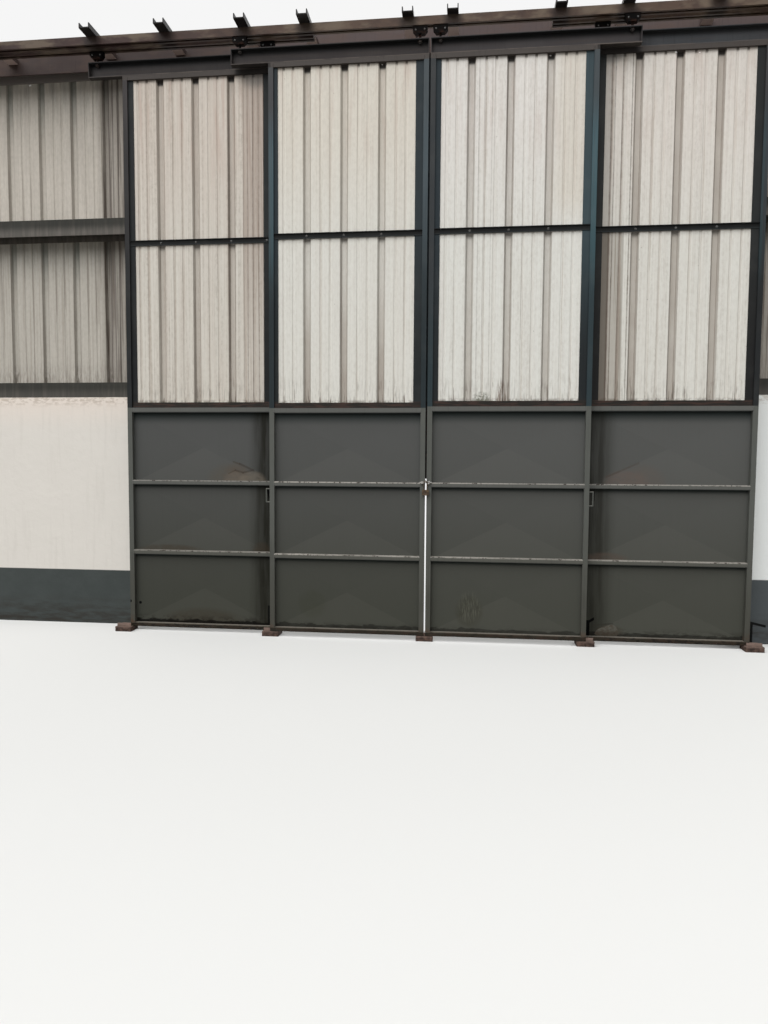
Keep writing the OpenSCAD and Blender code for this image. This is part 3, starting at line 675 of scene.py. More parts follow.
# %% Fixing strips and meeting strip
def leaf_strips():
    finish = Finish("dark paint of the fixing strips")
    high = finish.leaf_tones([tone(30, 33, 34), tone(38, 46, 50), tone(36, 45, 50), tone(34, 36, 36)])
    right_of_inner = finish.x.rise(3.4, 3.8) * finish.in_front
    high = finish.mix(right_of_inner, high, tone(54, 68, 73))
    low = finish.leaf_tones([tone(22, 24, 25), tone(26, 30, 31), tone(26, 30, 32), tone(24, 24, 24)])
    finish.color = finish.mix(finish.z.rise(2.2, 3.6), low, high)
    above_mid = finish.z - finish.by_leaf(level("mid_top"))
    foot = above_mid.rise(0.055, 0.045)
    stain = finish.mix(finish.spots((0.15, 0.1, 0.015), 23, 0.45, 0.62), tone(34, 31, 28), tone(56, 42, 37))
    brush_marks(finish, 24)
    finish.coat(foot, stain)
    return old_paint(finish, (0.02, 0.02, 0.06), 25)


# %% [markdown]
# The leaves hang from channels in the brown-grey of the hall's steel. The lower lip is painted lighter,
# a painted highlight where the light from above reaches it, and the hollow between the flanges is
# painted dark as shade.

# %% Carrying channels
def leaf_channel():
    finish = Finish("brown-grey paint of the channels")
    finish.color = finish.leaf_tones([tone(52, 49, 49), tone(50, 46, 46), tone(59, 56, 57), tone(64, 66, 69)])
    brush_marks(finish, 27)
    finish.coat(finish.spots((0.5, 0.2, 0.03), 26, 0.4, 0.7) * 0.35, tone(66, 58, 54))
    above = finish.z - finish.by_leaf(level("top"))
    # Painted highlight on the lower lip, in uneven patches.
    lip = above.rise(0.012, 0.007) * (0.3 + 0.7 * finish.spots((0.2, 0.1, 0.05), 28, 0.4, 0.6))
    finish.coat(lip * finish.by_leaf([1, 0.75, 1, 1]), tone(84, 77, 72))
    finish.coat(above.rise(0.002, -0.001), SOOT_AND_SHADE)
    # Painted shade in the hollow between the flanges.
    hollow = above.rise(0.060, 0.112) * above.rise(0.124, 0.119)
    finish.coat(hollow * finish.by_leaf([0.9, 0.9, 0.9, 0.6]), tone(16, 18, 19))
    return old_paint(finish, 0.03, 29, 0.4)


# %% [markdown]
# The lower plates take the knocks. Stains stand on the ledges under them, smudges and scrapes lie
# where loads have leaned, and dirt rises from the floor. Each mark has a place of its own, so the marks
# are lists, and a loop lays them on.

# %% Paint and stains of the plates
# Stains that stand on a ledge, and smudges: x, z, half width, half height, strength and colour
LEDGE_STAINS = (
    (0.850, 1.310, 0.24, 0.170, 0.40, tone(82, 76, 66)), (0.900, 1.310, 0.14, 0.165, 0.45, tone(82, 70, 60)),
    (0.890, 1.310, 0.12, 0.090, 0.55, tone(100, 93, 84)), (1.04, 1.31, 0.135, 0.094, 0.60, tone(104, 97, 87)),
    (0.300, 0.700, 0.34, 0.060, 0.55, tone(60, 52, 42)), (1.120, 0.700, 0.10, 0.100, 0.50, tone(56, 48, 38)),
    (4.140, 1.310, 0.21, 0.130, 0.55, tone(95, 83, 77)), (4.270, 1.310, 0.20, 0.180, 0.40, tone(88, 80, 74)),
    (3.980, 0.700, 0.22, 0.060, 0.50, tone(80, 68, 60)), (0.600, 0.070, 0.42, 0.150, 0.50, tone(54, 48, 38)),
)
SMUDGES = (
    (4.030, 0.105, 0.13, 0.060, 0.50, tone(60, 54, 44)), (2.890, 0.250, 0.13, 0.160, 0.40, tone(50, 49, 38)),
    (1.580, 0.280, 0.14, 0.140, 0.25, tone(52, 54, 41)),
)
# Scrapes: x and z of both ends, half width and colour
SCRAPES = (
    (0.870, 1.470, 0.930, 1.450, 0.007, tone(62, 54, 46)),
    (0.926, 1.453, 1.056, 1.393, 0.009, tone(56, 50, 45)),
    (0.830, 1.368, 0.892, 1.398, 0.006, tone(62, 54, 46)),
    (0.888, 1.398, 0.960, 1.376, 0.008, tone(54, 46, 39)),
    (0.956, 1.376, 1.050, 1.400, 0.008, tone(48, 40, 34)),
    (3.972, 1.362, 4.231, 1.480, 0.008, tone(70, 62, 57)),
    (3.900, 0.148, 4.060, 0.170, 0.006, tone(46, 44, 38)),
)


def plate_paint(finish):
    """The paint of the plates, with painted light and shade on its facets, painted shade under each rail, and
    painted shade with grime beside the outer seams.
    """
    inside = finish.indoors
    finish.color = finish.mix(finish.z.rise(0.1, 1.9), tone(61, 62, 56), tone(79, 80, 79))
    finish.coat(finish.by_leaf([0, 0.012, 0.034, 0.04]), tone(140, 140, 132))
    # Painted light on the facets of the dished plate that face up, and painted shade on those that face
    # right.
    finish.coat(finish.facing_z.rise(0.005, 0.018) * 0.035, tone(120, 118, 110))
    finish.coat(finish.facing_x.rise(0.003, 0.009) * 0.05, tone(40, 44, 40))
    brush_marks(finish, 30, 0.015)
    for name, reach in (("low", 0.04), ("high", 0.045), ("mid", 0.11)):
        under = finish.by_leaf(level(name)) - finish.z
        shade = under.rise(reach, 0.0) * under.rise(-0.02, -0.01)
        finish.coat(shade * 0.80, tone(22, 34, 34))
    # Painted shade where the outer leaves run behind the inner ones, broken up by grime.
    seam_shade_and_grime = finish.most(
        finish.x.rise(seams_x[0] - 0.26, seams_x[0] - 0.10) * (seams_x[0] > finish.x),
        finish.x.rise(seams_x[2] + 0.27, seams_x[2] + 0.11) * (finish.x > seams_x[2]) * 0.8,
    )
    seam_shade_and_grime = seam_shade_and_grime * (0.60 + 0.3 * finish.spots((0.04, 1, 0.5), 31, 0.35, 0.65)) * inside
    finish.coat(seam_shade_and_grime, tone(26, 25, 19))


def plate_stains(finish):
    """Stains, smudges and scrapes from the lists, and the dirt that rises from the floor."""
    inside = finish.indoors
    ragged = (0.6 + 0.4 * finish.spots((0.05, 1, 0.03), 32, 0.30, 0.60)) * inside
    for stain in LEDGE_STAINS + SMUDGES:
        x, z, half_width, half_height, strength, shade = stain
        shape = finish.patch(x, z, half_width, half_height, 0.7) * ragged * strength
        if stain in LEDGE_STAINS:
            shape = shape * (finish.z > z - 0.02)
        finish.coat(shape, shade)
    for *line, shade in SCRAPES:
        finish.coat(finish.stroke(*line) * ragged * 0.55, shade)
    scratch = finish.spots((0.008, 1, 0.08), 62, 0.48, 0.60)
    finish.coat(finish.patch(2.89, 0.29, 0.11, 0.15, 0.8) * scratch * inside * 0.45, tone(92, 92, 82))
    rise = finish.z.rise(0.15, 0.075) * finish.spots((0.06, 1, 0.03), 33, 0.42, 0.56)
    finish.coat(rise * finish.by_leaf([0.7, 0.4, 0.3, 0.4]), tone(24, 19, 14))
    over_foot = finish.z - finish.by_leaf(level("foot_top")) - finish.cloud((0.12, 1, 0.04), 71) * 0.07
    foot_line = over_foot.rise(-0.004, -0.012) * inside * finish.by_leaf([0.9, 0.55, 0.5, 0.6])
    finish.coat(foot_line, tone(12, 10, 8))


# %% [markdown]
# Where the plate has come off its frame, behind the pull loops and in a small hole, the shade in the gaps is
# painted black.

# %% Lower plates
LOOP_SLANT = 0.22


def plate_gaps(finish):
    """Painted black shade in the gaps and the hole in and behind the plates."""
    inside = finish.indoors
    finish.coat(finish.patch(0.026, 0.233, 0.014, 0.014) * inside, BLACK)
    finish.coat(finish.upright(1.170, 1.225, 0.06, 0.235) * inside, tone(14, 14, 12))
    behind_torn = finish.upright(3.80, 3.872, 0.05, 0.190)
    behind_torn = finish.most(behind_torn, finish.stroke(3.864, 0.178, 3.906, 0.205, 0.012))
    finish.coat(behind_torn * inside, BLACK)
    left_loop = (finish.x - (1.235 - finish.z) * LOOP_SLANT).rise(1.160, 1.166) * (seams_x[0] > finish.x)
    left_loop = left_loop * finish.z.span(1.150, 1.232, 0.005)
    finish.coat(finish.most(left_loop, finish.upright(3.866, 3.886, 1.172, 1.240)) * inside, BLACK)


def leaf_plate():
    finish = Finish("green-grey paint of the lower plates")
    plate_paint(finish)
    plate_stains(finish)
    plate_gaps(finish)
    dust(finish)
    return finish.done(0.6, finish.cloud(0.3, 34), 0.002, specular=0.05)


# %% [markdown]
# Posts, girts and header were painted with the hall and never since. The paint is worn where things
# have stood on the girts, and the hollow of the header is painted paler: painted light that lifts its deep
# shade.

# %% Wall frame and header
DOORWAY = (-0.08, 5.13)
RECESS = 0.065


def frame_steel():
    finish = Finish("dark paint of posts and girts")
    finish.color = tone(46, 46, 42)
    brush_marks(finish, 35)
    worn = finish.z.span(UPPER_GIRT, UPPER_GIRT + 0.02, 0.08)
    worn = worn + finish.z.span(dado_top, dado_top + 0.016, 0.08) * 0.5
    beside = (DOORWAY[0] > finish.x) + (finish.x > DOORWAY[1])
    streaks = finish.spots((0.03, 0.1, 0.5), 36, 0.40, 0.70)
    finish.coat(worn * beside * (0.6 + 0.4 * streaks), tone(100, 96, 91))
    finish.coat(streaks * 0.15, tone(92, 84, 78))
    return old_paint(finish, 0.03, 37)


def header_steel():
    finish = Finish("brown-grey paint of the header")
    finish.color = finish.mix(finish.x.rise(0.2, 1.6), tone(56, 45, 43), tone(82, 71, 70))
    patchy = finish.spots((0.3, 0.1, 0.1), 38, 0.4, 0.7)
    brush_marks(finish, 39)
    finish.coat(patchy * 0.3, tone(90, 70, 58))
    # Painted light in the hollow of the header, which lifts its deep shade.
    recess = finish.y.rise(wall_face + RECESS, wall_face + RECESS + 0.01)
    below_top = finish.z.rise(header_high - 0.02, header_high - 0.06)
    finish.coat(recess * below_top, tone(124, 119, 117))
    return old_paint(finish, 0.03, 40)


# %% [markdown]
# Rust and fumes have stained the tracks, and the shadow of each bracket is painted on them. The brackets
# are black to the front, paler towards the wall, and painted palest underneath: painted light, as if
# thrown back off the header.

# %% Tracks and brackets
# The corners of one bracket stand at four different X, two for each flange
corners_x = sorted({round(v.co.x, 3) for v in nodes["track_brackets"].data.vertices})
brackets_x = [(a + b) / 2 for a, b in zip(corners_x[::4], corners_x[3::4])]
print("brackets at", [round(x, 2) for x in brackets_x])


def track_steel():
    finish = Finish("stained steel of the tracks")
    finish.color = finish.mix(finish.x.rise(-0.5, 2.0), tone(62, 46, 43), tone(80, 64, 54))
    finish.coat(finish.spots((0.12, 0.1, 0.06), 41, 0.4, 0.65) * 0.5, tone(50, 38, 36))
    finish.coat(finish.spots((0.25, 0.1, 0.1), 42, 0.45, 0.65) * 0.65, tone(108, 96, 82))
    # Painted shadow of each bracket on the tracks.
    for x in brackets_x:
        finish.coat(finish.x.span(x - 0.04, x + 0.04, 0.06) * 0.65, tone(30, 24, 23))
    dust(finish)
    return finish.done(0.55, finish.cloud(0.03, 43), 0.0005)


def bracket_steel():
    finish = Finish("black paint of the brackets")
    behind = finish.y.rise(inner_face + 0.06, inner_face + 0.10)
    finish.color = tone(28, 25, 25)
    brush_marks(finish, 44)
    finish.coat(behind, tone(90, 78, 75))
    # Painted light on the undersides behind the tracks, as if thrown back off the header.
    painted_light_underside = behind * finish.facing_z.rise(-0.5, -0.9)
    finish.coat(painted_light_underside, tone(186, 168, 164))
    dust(finish, 0.6)
    return finish.done(0.5, finish.cloud(0.02, 45), 0.0005)


# %% [markdown]
# What runs or is handled looks different again: grease on the trolleys, thick rust on the floor
# guides, bright rubbed steel on the bolt, and brass gone dull on the padlock.

# %% Trolleys, guides, bolt and padlock
def blotched(name, size, seed, low, high, tones):
    """A finish of one tone with blotches of a second one."""
    finish = Finish(name)
    finish.color = finish.mix(finish.spots(size, seed, low, high), *tones)
    return finish


def trolley_steel():
    finish = Finish("greasy steel of the trolleys")
    low = finish.z.rise(track_low - 0.035, track_low - 0.062)
    rusty = finish.spots((0.03, 0.03, 0.02), 46, 0.42, 0.60) * (0.10 + 0.90 * low)
    finish.color = finish.mix(rusty * 0.7, tone(10, 9, 9), tone(50, 32, 25))
    dusty_nut = finish.z.rise(track_low - 0.10, track_low - 0.12)
    finish.coat(dusty_nut * 0.25, tone(110, 106, 104))
    dust(finish, 0.5)
    return finish.done(0.6, finish.cloud(0.01, 47), 0.0006, specular=0.03)


def rusty_iron():
    tones = (tone(46, 38, 34), tone(92, 74, 66))
    finish = blotched("rusty iron of the floor guides", 0.03, 48, 0.35, 0.7, tones)
    finish.coat(finish.z.rise(0.02, 0.06) * 0.5, tone(150, 130, 120))
    return finish.done(0.85, finish.cloud(0.015, 49, 6), 0.003)


def bare_steel():
    tones = (tone(178, 178, 175), tone(120, 114, 108))
    finish = blotched("worn bright steel", 0.01, 50, 0.4, 0.65, tones)
    return finish.done(0.45, finish.cloud(0.004, 51), 0.0003, 0.5, 0.5)


def old_brass():
    tones = (tone(84, 68, 50), tone(50, 40, 34))
    finish = blotched("tarnished brass of the padlock", 0.012, 52, 0.4, 0.65, tones)
    return finish.done(0.45, finish.cloud(0.006, 53), 0.0003, 0.5, 0.4)


# %% [markdown]
# ## Rendered dado
# The lower wall is block masonry with a coat of render, painted white with a blue-grey skirting band.

# %% Rendered dado
SKIRTING_LEFT = 0.487
SKIRTING_RISE = 0.045


def dado_render():
    finish = Finish("painted render of the dado")
    finish.color = finish.mix(finish.cloud((0.5, 0.5, 0.4), 54), tone(207, 203, 196), tone(214, 210, 203))
    finish.coat(finish.z.rise(1.7, 2.03) * 0.6, tone(222, 209, 198))
    finish.coat(finish.spots((0.04, 1, 0.5), 55, 0.5, 0.8) * 0.25, tone(186, 182, 174))
    # The right side is painted lighter, and its skirting too: painted light that lifts the shadow of the
    # right-hand leaf.
    right_side = finish.x.rise(1.5, 3.5)
    finish.coat(right_side * 0.9, tone(224, 228, 227))
    drips = finish.z.rise(1.93, 2.01) * finish.spots((0.04, 1, 0.02), 72, 0.44, 0.62)
    finish.coat(drips * 0.45, tone(150, 134, 116))
    edge = finish.z - SKIRTING_LEFT - right_side * SKIRTING_RISE
    skirting = finish.mix(finish.spots((0.3, 1, 0.3), 56, 0.3, 0.8), tone(60, 65, 64), tone(66, 71, 70))
    skirting = finish.mix(right_side * 0.7, skirting, tone(78, 83, 86))
    finish.coat(edge.rise(0.004, -0.004), skirting)
    grime = finish.z.rise(0.30, 0.02) * finish.spots((0.25, 1, 0.05), 57, 0.35, 0.65)
    finish.coat(grime * 0.7, tone(44, 38, 32))
    # A broken place at the foot of the wall, painted black as the shade inside it.
    broken = finish.stroke(5.150, 0.184, 5.308, 0.149, 0.010)
    broken = finish.most(broken, finish.upright(5.150, 5.208, 0.0, 0.175))
    finish.coat(broken * finish.indoors, BLACK)
    return finish.done(0.75, finish.cloud(0.06, 58, 6), 0.003)


# %% [markdown]
# The record names a material for every solid. A few pieces of the leaves share one with the stiles but
# are worn in their own way, so the last word of a piece's name is looked up first.

# %% Finishes onto the solids
MAKERS = {
    "frame_steel": frame_steel, "header_steel": header_steel, "dado_render": dado_render,
    "wall_sheeting": wall_sheeting, "track_steel": track_steel, "bracket_steel": bracket_steel,
    "rusty_iron": rusty_iron, "leaf_steel": leaf_stiles, "leaf_plate": leaf_plate,
    "leaf_sheeting": leaf_sheeting, "trolley_steel": trolley_steel, "bare_steel": bare_steel,
    "old_brass": old_brass,
}
PART_MAKERS = {
    "rails": leaf_rails, "strips": leaf_strips, "channel": leaf_channel, "strip": leaf_strips,
}
finishes = {name: make() for name, make in (MAKERS | PART_MAKERS).items()}
for part in frame["record"]["subparts"]:
    node = nodes[part["node"]]
    ending = part["node"].split("_")[-1]
    node.data.materials.clear()
    node.data.materials.append(finishes.get(ending, finishes[part["material_slot"]]))

# %% [markdown]
# ## Small steel parts
# Screws, nuts and weld seams hold the door together. Each kind is modelled once, standing on the
# origin with its head up, and then copied to its places. All the copies that move with one leaf become
# one piece, which rides on that leaf.
#
# The operators of edit mode act on what is selected, so one helper selects faces by where they are and
# which way they point.

# %% Helpers for modelling
INDOORS = Matrix.Rotation(math.radians(90), 4, "X")
OUTDOORS = Matrix.Rotation(math.radians(-90), 4, "X")
UPRIGHT = Matrix.Identity(4)
BODY_OF = {leaf: leaf + "_leaf" for leaf in LEAVES}


def pick_faces(piece, wanted):
    """Goes into edit mode with only the wanted faces selected."""
    bpy.ops.object.mode_set(mode="EDIT")
    bpy.ops.mesh.select_mode(type="FACE")
    bpy.ops.mesh.select_all(action="DESELECT")
    bpy.ops.object.mode_set(mode="OBJECT")
    for face in piece.data.polygons:
        face.select = wanted(face.center, face.normal)
    bpy.ops.object.mode_set(mode="EDIT")


def joined(pieces):
    """Makes one object of several."""
    bpy.ops.object.select_all(action="DESELECT")
    for piece in pieces:
        piece.select_set(True)
    bpy.context.view_layer.objects.active = pieces[0]
    if len(pieces) > 1:
        bpy.ops.object.join()
    bpy.ops.object.transform_apply(location=True, rotation=True, scale=True)
    return pieces[0]


def prism(sides, radius, low, high):
    """A new upright cylinder or prism between two heights, and nothing else selected."""
    bpy.ops.object.select_all(action="DESELECT")
    middle = (0, 0, (low + high) / 2)
    bpy.ops.mesh.primitive_cylinder_add(vertices=sides, radius=radius, depth=high - low, location=middle)
    return bpy.context.object


def place(model, name, body, finish, places):
    """Copies a model to its places and makes one piece of the copies, which rides on a body."""
    made = []
    for spot, turn in places:
        one = model.copy()
        one.data = model.data.copy()
        one.data.transform(Matrix.Translation(spot) @ turn)
        bpy.context.scene.collection.objects.link(one)
        made.append(one)
    piece = joined(made)
    piece.name = name
    piece.data.materials.clear()
    piece.data.materials.append(finish)
    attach(piece, body)
    return piece


def discard(model):
    bpy.data.objects.remove(model, do_unlink=True)


# %% [markdown]
# The small parts need three more finishes: zinc gone dull, rust all over, and the torn plate's paint.

# %% Finishes of the small parts
def zinc_steel():
    tones = (tone(96, 98, 98), tone(52, 44, 38))
    finish = blotched("dull zinc of the screws", 0.008, 63, 0.40, 0.65, tones)
    dust(finish, 0.4)
    return finish.done(0.5, finish.cloud(0.004, 64), 0.0003, 0.4, 0.3)


def rusty_bolts():
    tones = (tone(48, 38, 34), tone(96, 60, 42))
    finish = blotched("rusty steel of nuts and studs", 0.010, 65, 0.35, 0.65, tones)
    dust(finish, 0.5)
    return finish.done(0.8, finish.cloud(0.005, 66, 5), 0.0008)


def torn_sheet():
    finish = Finish("bare edge of the torn plate")
    rust = finish.spots((0.03, 0.03, 0.015), 67, 0.42, 0.62)
    finish.color = finish.mix(rust * 0.6, tone(76, 75, 68), tone(58, 48, 38))
    finish.coat(finish.z.rise(0.120, 0.090) * 0.6, tone(50, 41, 31))
    return finish.done(0.7, finish.cloud((0.02, 0.02, 0.01), 68), 0.001)


zinc, rusty, torn = zinc_steel(), rusty_bolts(), torn_sheet()
print("finishes:", zinc.name, "|", rusty.name, "|", torn.name)

# %% [markdown]
# ## Sheet screws
# Sheeting is held by self-drilling screws: a small hexagon head pressed onto a domed washer with a
# rubber seal under it. The washer is a disc whose top is inset and raised, and the head a prism of six
# sides with its top rim bevelled.

# %% One sheet screw
HEAD_ACROSS = 0.0095
HEAD_HEIGHT = 0.005
WASHER_RADIUS = 0.009
WASHER_HEIGHT = 0.0025


def washer_disc(radius, height, dome):
    """A round washer whose middle is raised by dome."""
    disc = prism(20, radius, 0, height)
    pick_faces(disc, lambda center, normal: normal.z > 0.9)
    bpy.ops.mesh.inset(thickness=radius * 0.35)
    bpy.ops.transform.translate(value=(0, 0, dome))
    bpy.ops.object.mode_set(mode="OBJECT")
    return disc


def hexagon(across, low, high):
    """A head or nut of six sides with its top rim bevelled."""
    head = prism(6, across / math.sqrt(3), low, high)
    pick_faces(head, lambda center, normal: normal.z > 0.9)
    bpy.ops.mesh.bevel(offset=across * 0.08, segments=2)
    bpy.ops.object.mode_set(mode="OBJECT")
    return head


def sheet_screw():
    disc = washer_disc(WASHER_RADIUS, WASHER_HEIGHT * 0.6, WASHER_HEIGHT * 0.4)
    return joined([disc, hexagon(HEAD_ACROSS, WASHER_HEIGHT, WASHER_HEIGHT + HEAD_HEIGHT)])


screw = sheet_screw()
print("screw:", len(screw.data.polygons), "faces,", round(screw.dimensions.z * 1000, 1), "mm high")

# %% [markdown]
# On the leaves the screws go through the upright leg of the angle rail into every big rib of the sheet.
# The ribs are found from the sheet's own corners: those furthest behind the pans.

# %% Screws along the angle rails
ANGLE_LEG_IN = 0.010
ANGLE_HALF_HEIGHT = 0.019
SAME_RIB = 0.06


def ribs_of(node):
    """The middles of the big ribs of a sheet, from the left."""
    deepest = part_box(node)[1].y - NUDGE / 2
    ribs = []
    for x in sorted({round(v.co.x, 4) for v in nodes[node].data.vertices if v.co.y > deepest}):
        if ribs and x - ribs[-1][0] < SAME_RIB:
            ribs[-1].append(x)
        else:
            ribs.append([x])
    return [(rib[0] + rib[-1]) / 2 for rib in ribs]


for leaf, box, levels in zip(LEAVES, leaf_box, leaf_levels):
    y, z = box[0].y + ANGLE_LEG_IN, levels["angle"] + ANGLE_HALF_HEIGHT
    places = [(Vector((x, y, z)), INDOORS) for x in ribs_of(leaf + "_sheet")]
    place(screw, leaf + "_angle_screws", BODY_OF[leaf], zinc, places)
    print(leaf, len(places), "screws at", [round(spot.x, 3) for spot, turn in places])


# %% [markdown]
# The wall sheets are screwed from outdoors, in the pans beside the ribs, to the header and the girts.

# %% Screws in the wall sheets
SHEET_THICKNESS = 0.001
FROM_GIRT_EDGE = 0.034
FROM_POST = 0.05
girt_low, girt_high = (corner.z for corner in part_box("wall_girts"))
girt_levels = (girt_low + FROM_GIRT_EDGE, girt_high - FROM_GIRT_EDGE)
post_x = (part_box("left_door_post")[0].x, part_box("right_door_post")[1].x)
pans = [rib + RIB_PITCH / 2 for rib in ribs_of("wall_sheets")[:-1]]
beside_door = [x for x in pans if x < post_x[0] - FROM_POST or x > post_x[1] + FROM_POST]
spots = [(x, (header_low + header_high) / 2) for x in pans]
spots += [(x, z) for z in girt_levels for x in beside_door]
places = [(Vector((x, wall_sheet_face + SHEET_THICKNESS, z)), OUTDOORS) for x, z in spots]
place(screw, "wall_sheet_screws", "wall", zinc, places)
discard(screw)
print(len(places), "screws in the wall sheets")

# %% [markdown]
# ## Nuts
# A nut on a washer, with the end of its bolt standing out, holds each track to its brackets and each
# post to the floor. The bolt's end is a short cylinder with a bevelled rim.

# %% One nut on its bolt
# Radius of the bolt, width of the nut, and how far the bolt's end stands out
TRACK_BOLT = (0.006, 0.019, 0.004)
ANCHOR_BOLT = (0.008, 0.024, 0.016)
DISC_HEIGHT = 0.002
DISC_DOME = 0.0005
BOLT_ROOT = -0.004


def nut_on_bolt(radius, across, beyond):
    """A washer, a nut and a bolt's end that stands out beyond the nut."""
    nut_low = DISC_HEIGHT + DISC_DOME
    nut_high = nut_low + radius * 1.6
    washer = washer_disc(across * 0.75, DISC_HEIGHT, DISC_DOME)
    nut = hexagon(across, nut_low, nut_high)
    bolt = prism(16, radius, BOLT_ROOT, nut_high + beyond)
    pick_faces(bolt, lambda center, normal: normal.z > 0.9)
    bpy.ops.mesh.bevel(offset=radius * 0.15, segments=1)
    bpy.ops.object.mode_set(mode="OBJECT")
    return joined([washer, nut, bolt])


# %% Nuts on the brackets
bracket_web = sorted({round(v.co.z, 4) for v in nodes["track_brackets"].data.vertices})[1]
inner_track_y = sum(corner.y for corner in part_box("inner_track")) / 2
outer_track_y = sum(corner.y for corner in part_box("outer_tracks")) / 2
outer_track_x = sorted(v.co.x for v in nodes["outer_tracks"].data.vertices)
gap_left = max(x for x in outer_track_x if x < seams_x[1])
gap_right = min(x for x in outer_track_x if x > seams_x[1])
track_nut = nut_on_bolt(*TRACK_BOLT)
on_outer_tracks = [x for x in brackets_x if x < gap_left or x > gap_right]
spots = [(x, inner_track_y) for x in brackets_x] + [(x, outer_track_y) for x in on_outer_tracks]
places = [(Vector((x, y, bracket_web)), UPRIGHT) for x, y in spots]
place(track_nut, "track_nuts", "wall", rusty, places)
discard(track_nut)
print(len(places), "nuts on", len(brackets_x), "brackets")

# %% [markdown]
# Each post stands on a base plate with four anchors. Their nuts are the same, one size larger, and
# the bolts stand out further because they were cast in by eye.

# %% Anchors of the posts
PLATE_TOP = 0.012
ANCHOR_X = 0.05
ANCHOR_Y = 0.1225
POST_HALF = 0.075
end_left, end_right = (corner.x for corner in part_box("end_posts"))
post_middles = [end_left + POST_HALF, post_x[0] + POST_HALF, post_x[1] - POST_HALF, end_right - POST_HALF]
anchor_nut = nut_on_bolt(*ANCHOR_BOLT)
places = [
    (Vector((x + dx, dy, PLATE_TOP)), UPRIGHT)
    for x in post_middles for dx in (-ANCHOR_X, ANCHOR_X) for dy in (-ANCHOR_Y, ANCHOR_Y)
]
place(anchor_nut, "post_anchors", "wall", rusty, places)
discard(anchor_nut)
print(len(places), "anchors on", len(post_middles), "posts")

# %% [markdown]
# ## Axle nuts
# Each trolley carries its wheels on two axles, and the cap nuts of the axles show on the front of its
# body. A cap nut is a nut with a round dome: the top of the prism is inset and raised twice.

# %% Cap nuts on the trolleys
AXLE_FROM_MIDDLE = 0.035
CAP_ACROSS = 0.013
CAP_HEIGHT = 0.004
# How much each step of the dome draws in, as a share of the width, and how high it rises
DOME_STEPS = ((0.10, 0.0016), (0.14, 0.0008))


def cap_nut(across, height):
    cap = hexagon(across, 0, height)
    pick_faces(cap, lambda center, normal: normal.z > 0.95)
    for share, rise in DOME_STEPS:
        bpy.ops.mesh.inset(thickness=across * share)
        bpy.ops.transform.translate(value=(0, 0, rise))
    bpy.ops.object.mode_set(mode="OBJECT")
    return cap


cap = cap_nut(CAP_ACROSS, CAP_HEIGHT)
for leaf in LEAVES:
    node = leaf + "_trolleys"
    low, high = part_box(node)
    front = [v.co for v in nodes[node].data.vertices if v.co.y < low.y + NUDGE / 2]
    front_z = (min(co.z for co in front) + max(co.z for co in front)) / 2
    left_body = [co.x for co in front if co.x < (low.x + high.x) / 2]
    right_body = [co.x for co in front if co.x > (low.x + high.x) / 2]
    middles = [(min(xs) + max(xs)) / 2 for xs in (left_body, right_body)]
    axles_x = [x + side * AXLE_FROM_MIDDLE for x in middles for side in (-1, 1)]
    places = [(Vector((x, low.y, front_z)), INDOORS) for x in axles_x]
    place(cap, leaf + "_axle_nuts", BODY_OF[leaf], zinc, places)
    print(leaf, len(places), "cap nuts at", [round(spot.x, 3) for spot, turn in places])
discard(cap)

# %% [markdown]
# ## Weld seams
# The rails are welded between the stiles. A weld bead looks like a row of overlapping scales, one for
# each drop of steel. One scale is half of a flattened ball; an array sets many of them along the joint.

# %% Weld beads
SCALE_STEP = 0.0038
SCALE_SIZE = (0.0042, 0.0018, 0.0042)
SCALE_TILT = math.radians(-18)
BEAD_LENGTH = 0.034
BEAD_DROP = 0.016
STILE_WIDTH = 0.04
FRAME_DEPTH = 0.05
BACKWARDS = Matrix.Rotation(math.radians(180), 4, "Z")
WELDED = (("low", "low_top"), ("high", "high_top"), ("mid", "mid_top"), ("head", "top"))


def weld_bead(length):
    """A bead along Z from the origin, which bulges towards -Y."""
    bpy.ops.object.select_all(action="DESELECT")
    bpy.ops.mesh.primitive_uv_sphere_add(segments=12, ring_count=8, radius=1)
    bead = bpy.context.object
    bead.scale = SCALE_SIZE
    bead.rotation_euler = (SCALE_TILT, 0, 0)
    bpy.ops.object.transform_apply(location=True, rotation=True, scale=True)
    bpy.ops.object.mode_set(mode="EDIT")
    bpy.ops.mesh.select_all(action="SELECT")
    bpy.ops.mesh.bisect(plane_co=(0, 0, 0), plane_no=(0, 1, 0), clear_outer=True, use_fill=True)
    bpy.ops.object.mode_set(mode="OBJECT")
    row = bead.modifiers.new("row", "ARRAY")
    row.count = int(length / SCALE_STEP)
    row.use_relative_offset = False
    row.use_constant_offset = True
    row.constant_offset_displace = (0, 0, SCALE_STEP)
    bpy.ops.object.modifier_apply(modifier=row.name)
    return bead


bead = weld_bead(BEAD_LENGTH)
for leaf, box, levels in zip(LEAVES, leaf_box, leaf_levels):
    joints_x = (box[0].x + STILE_WIDTH, box[1].x - STILE_WIDTH)
    places = []
    for low, high in WELDED:
        start = (levels[low] + levels[high]) / 2 - BEAD_DROP
        for y, turn in ((box[0].y, UPRIGHT), (box[0].y + FRAME_DEPTH, BACKWARDS)):
            places += [(Vector((x, y, start)), turn) for x in joints_x]
    place(bead, leaf + "_weld_seams", BODY_OF[leaf], finishes["rails"], places)
    print(leaf, len(places), "weld seams")
discard(bead)

# %% [markdown]
# ## Torn corner
# Something heavy has hit the lower left corner of the right-hand leaf. The plate has come off the
# stile there, and a strip of it stands up crumpled. A flat grid is bent into that shape: its corners
# are moved row by row, and it gets its thickness afterwards so that the normals stay right.

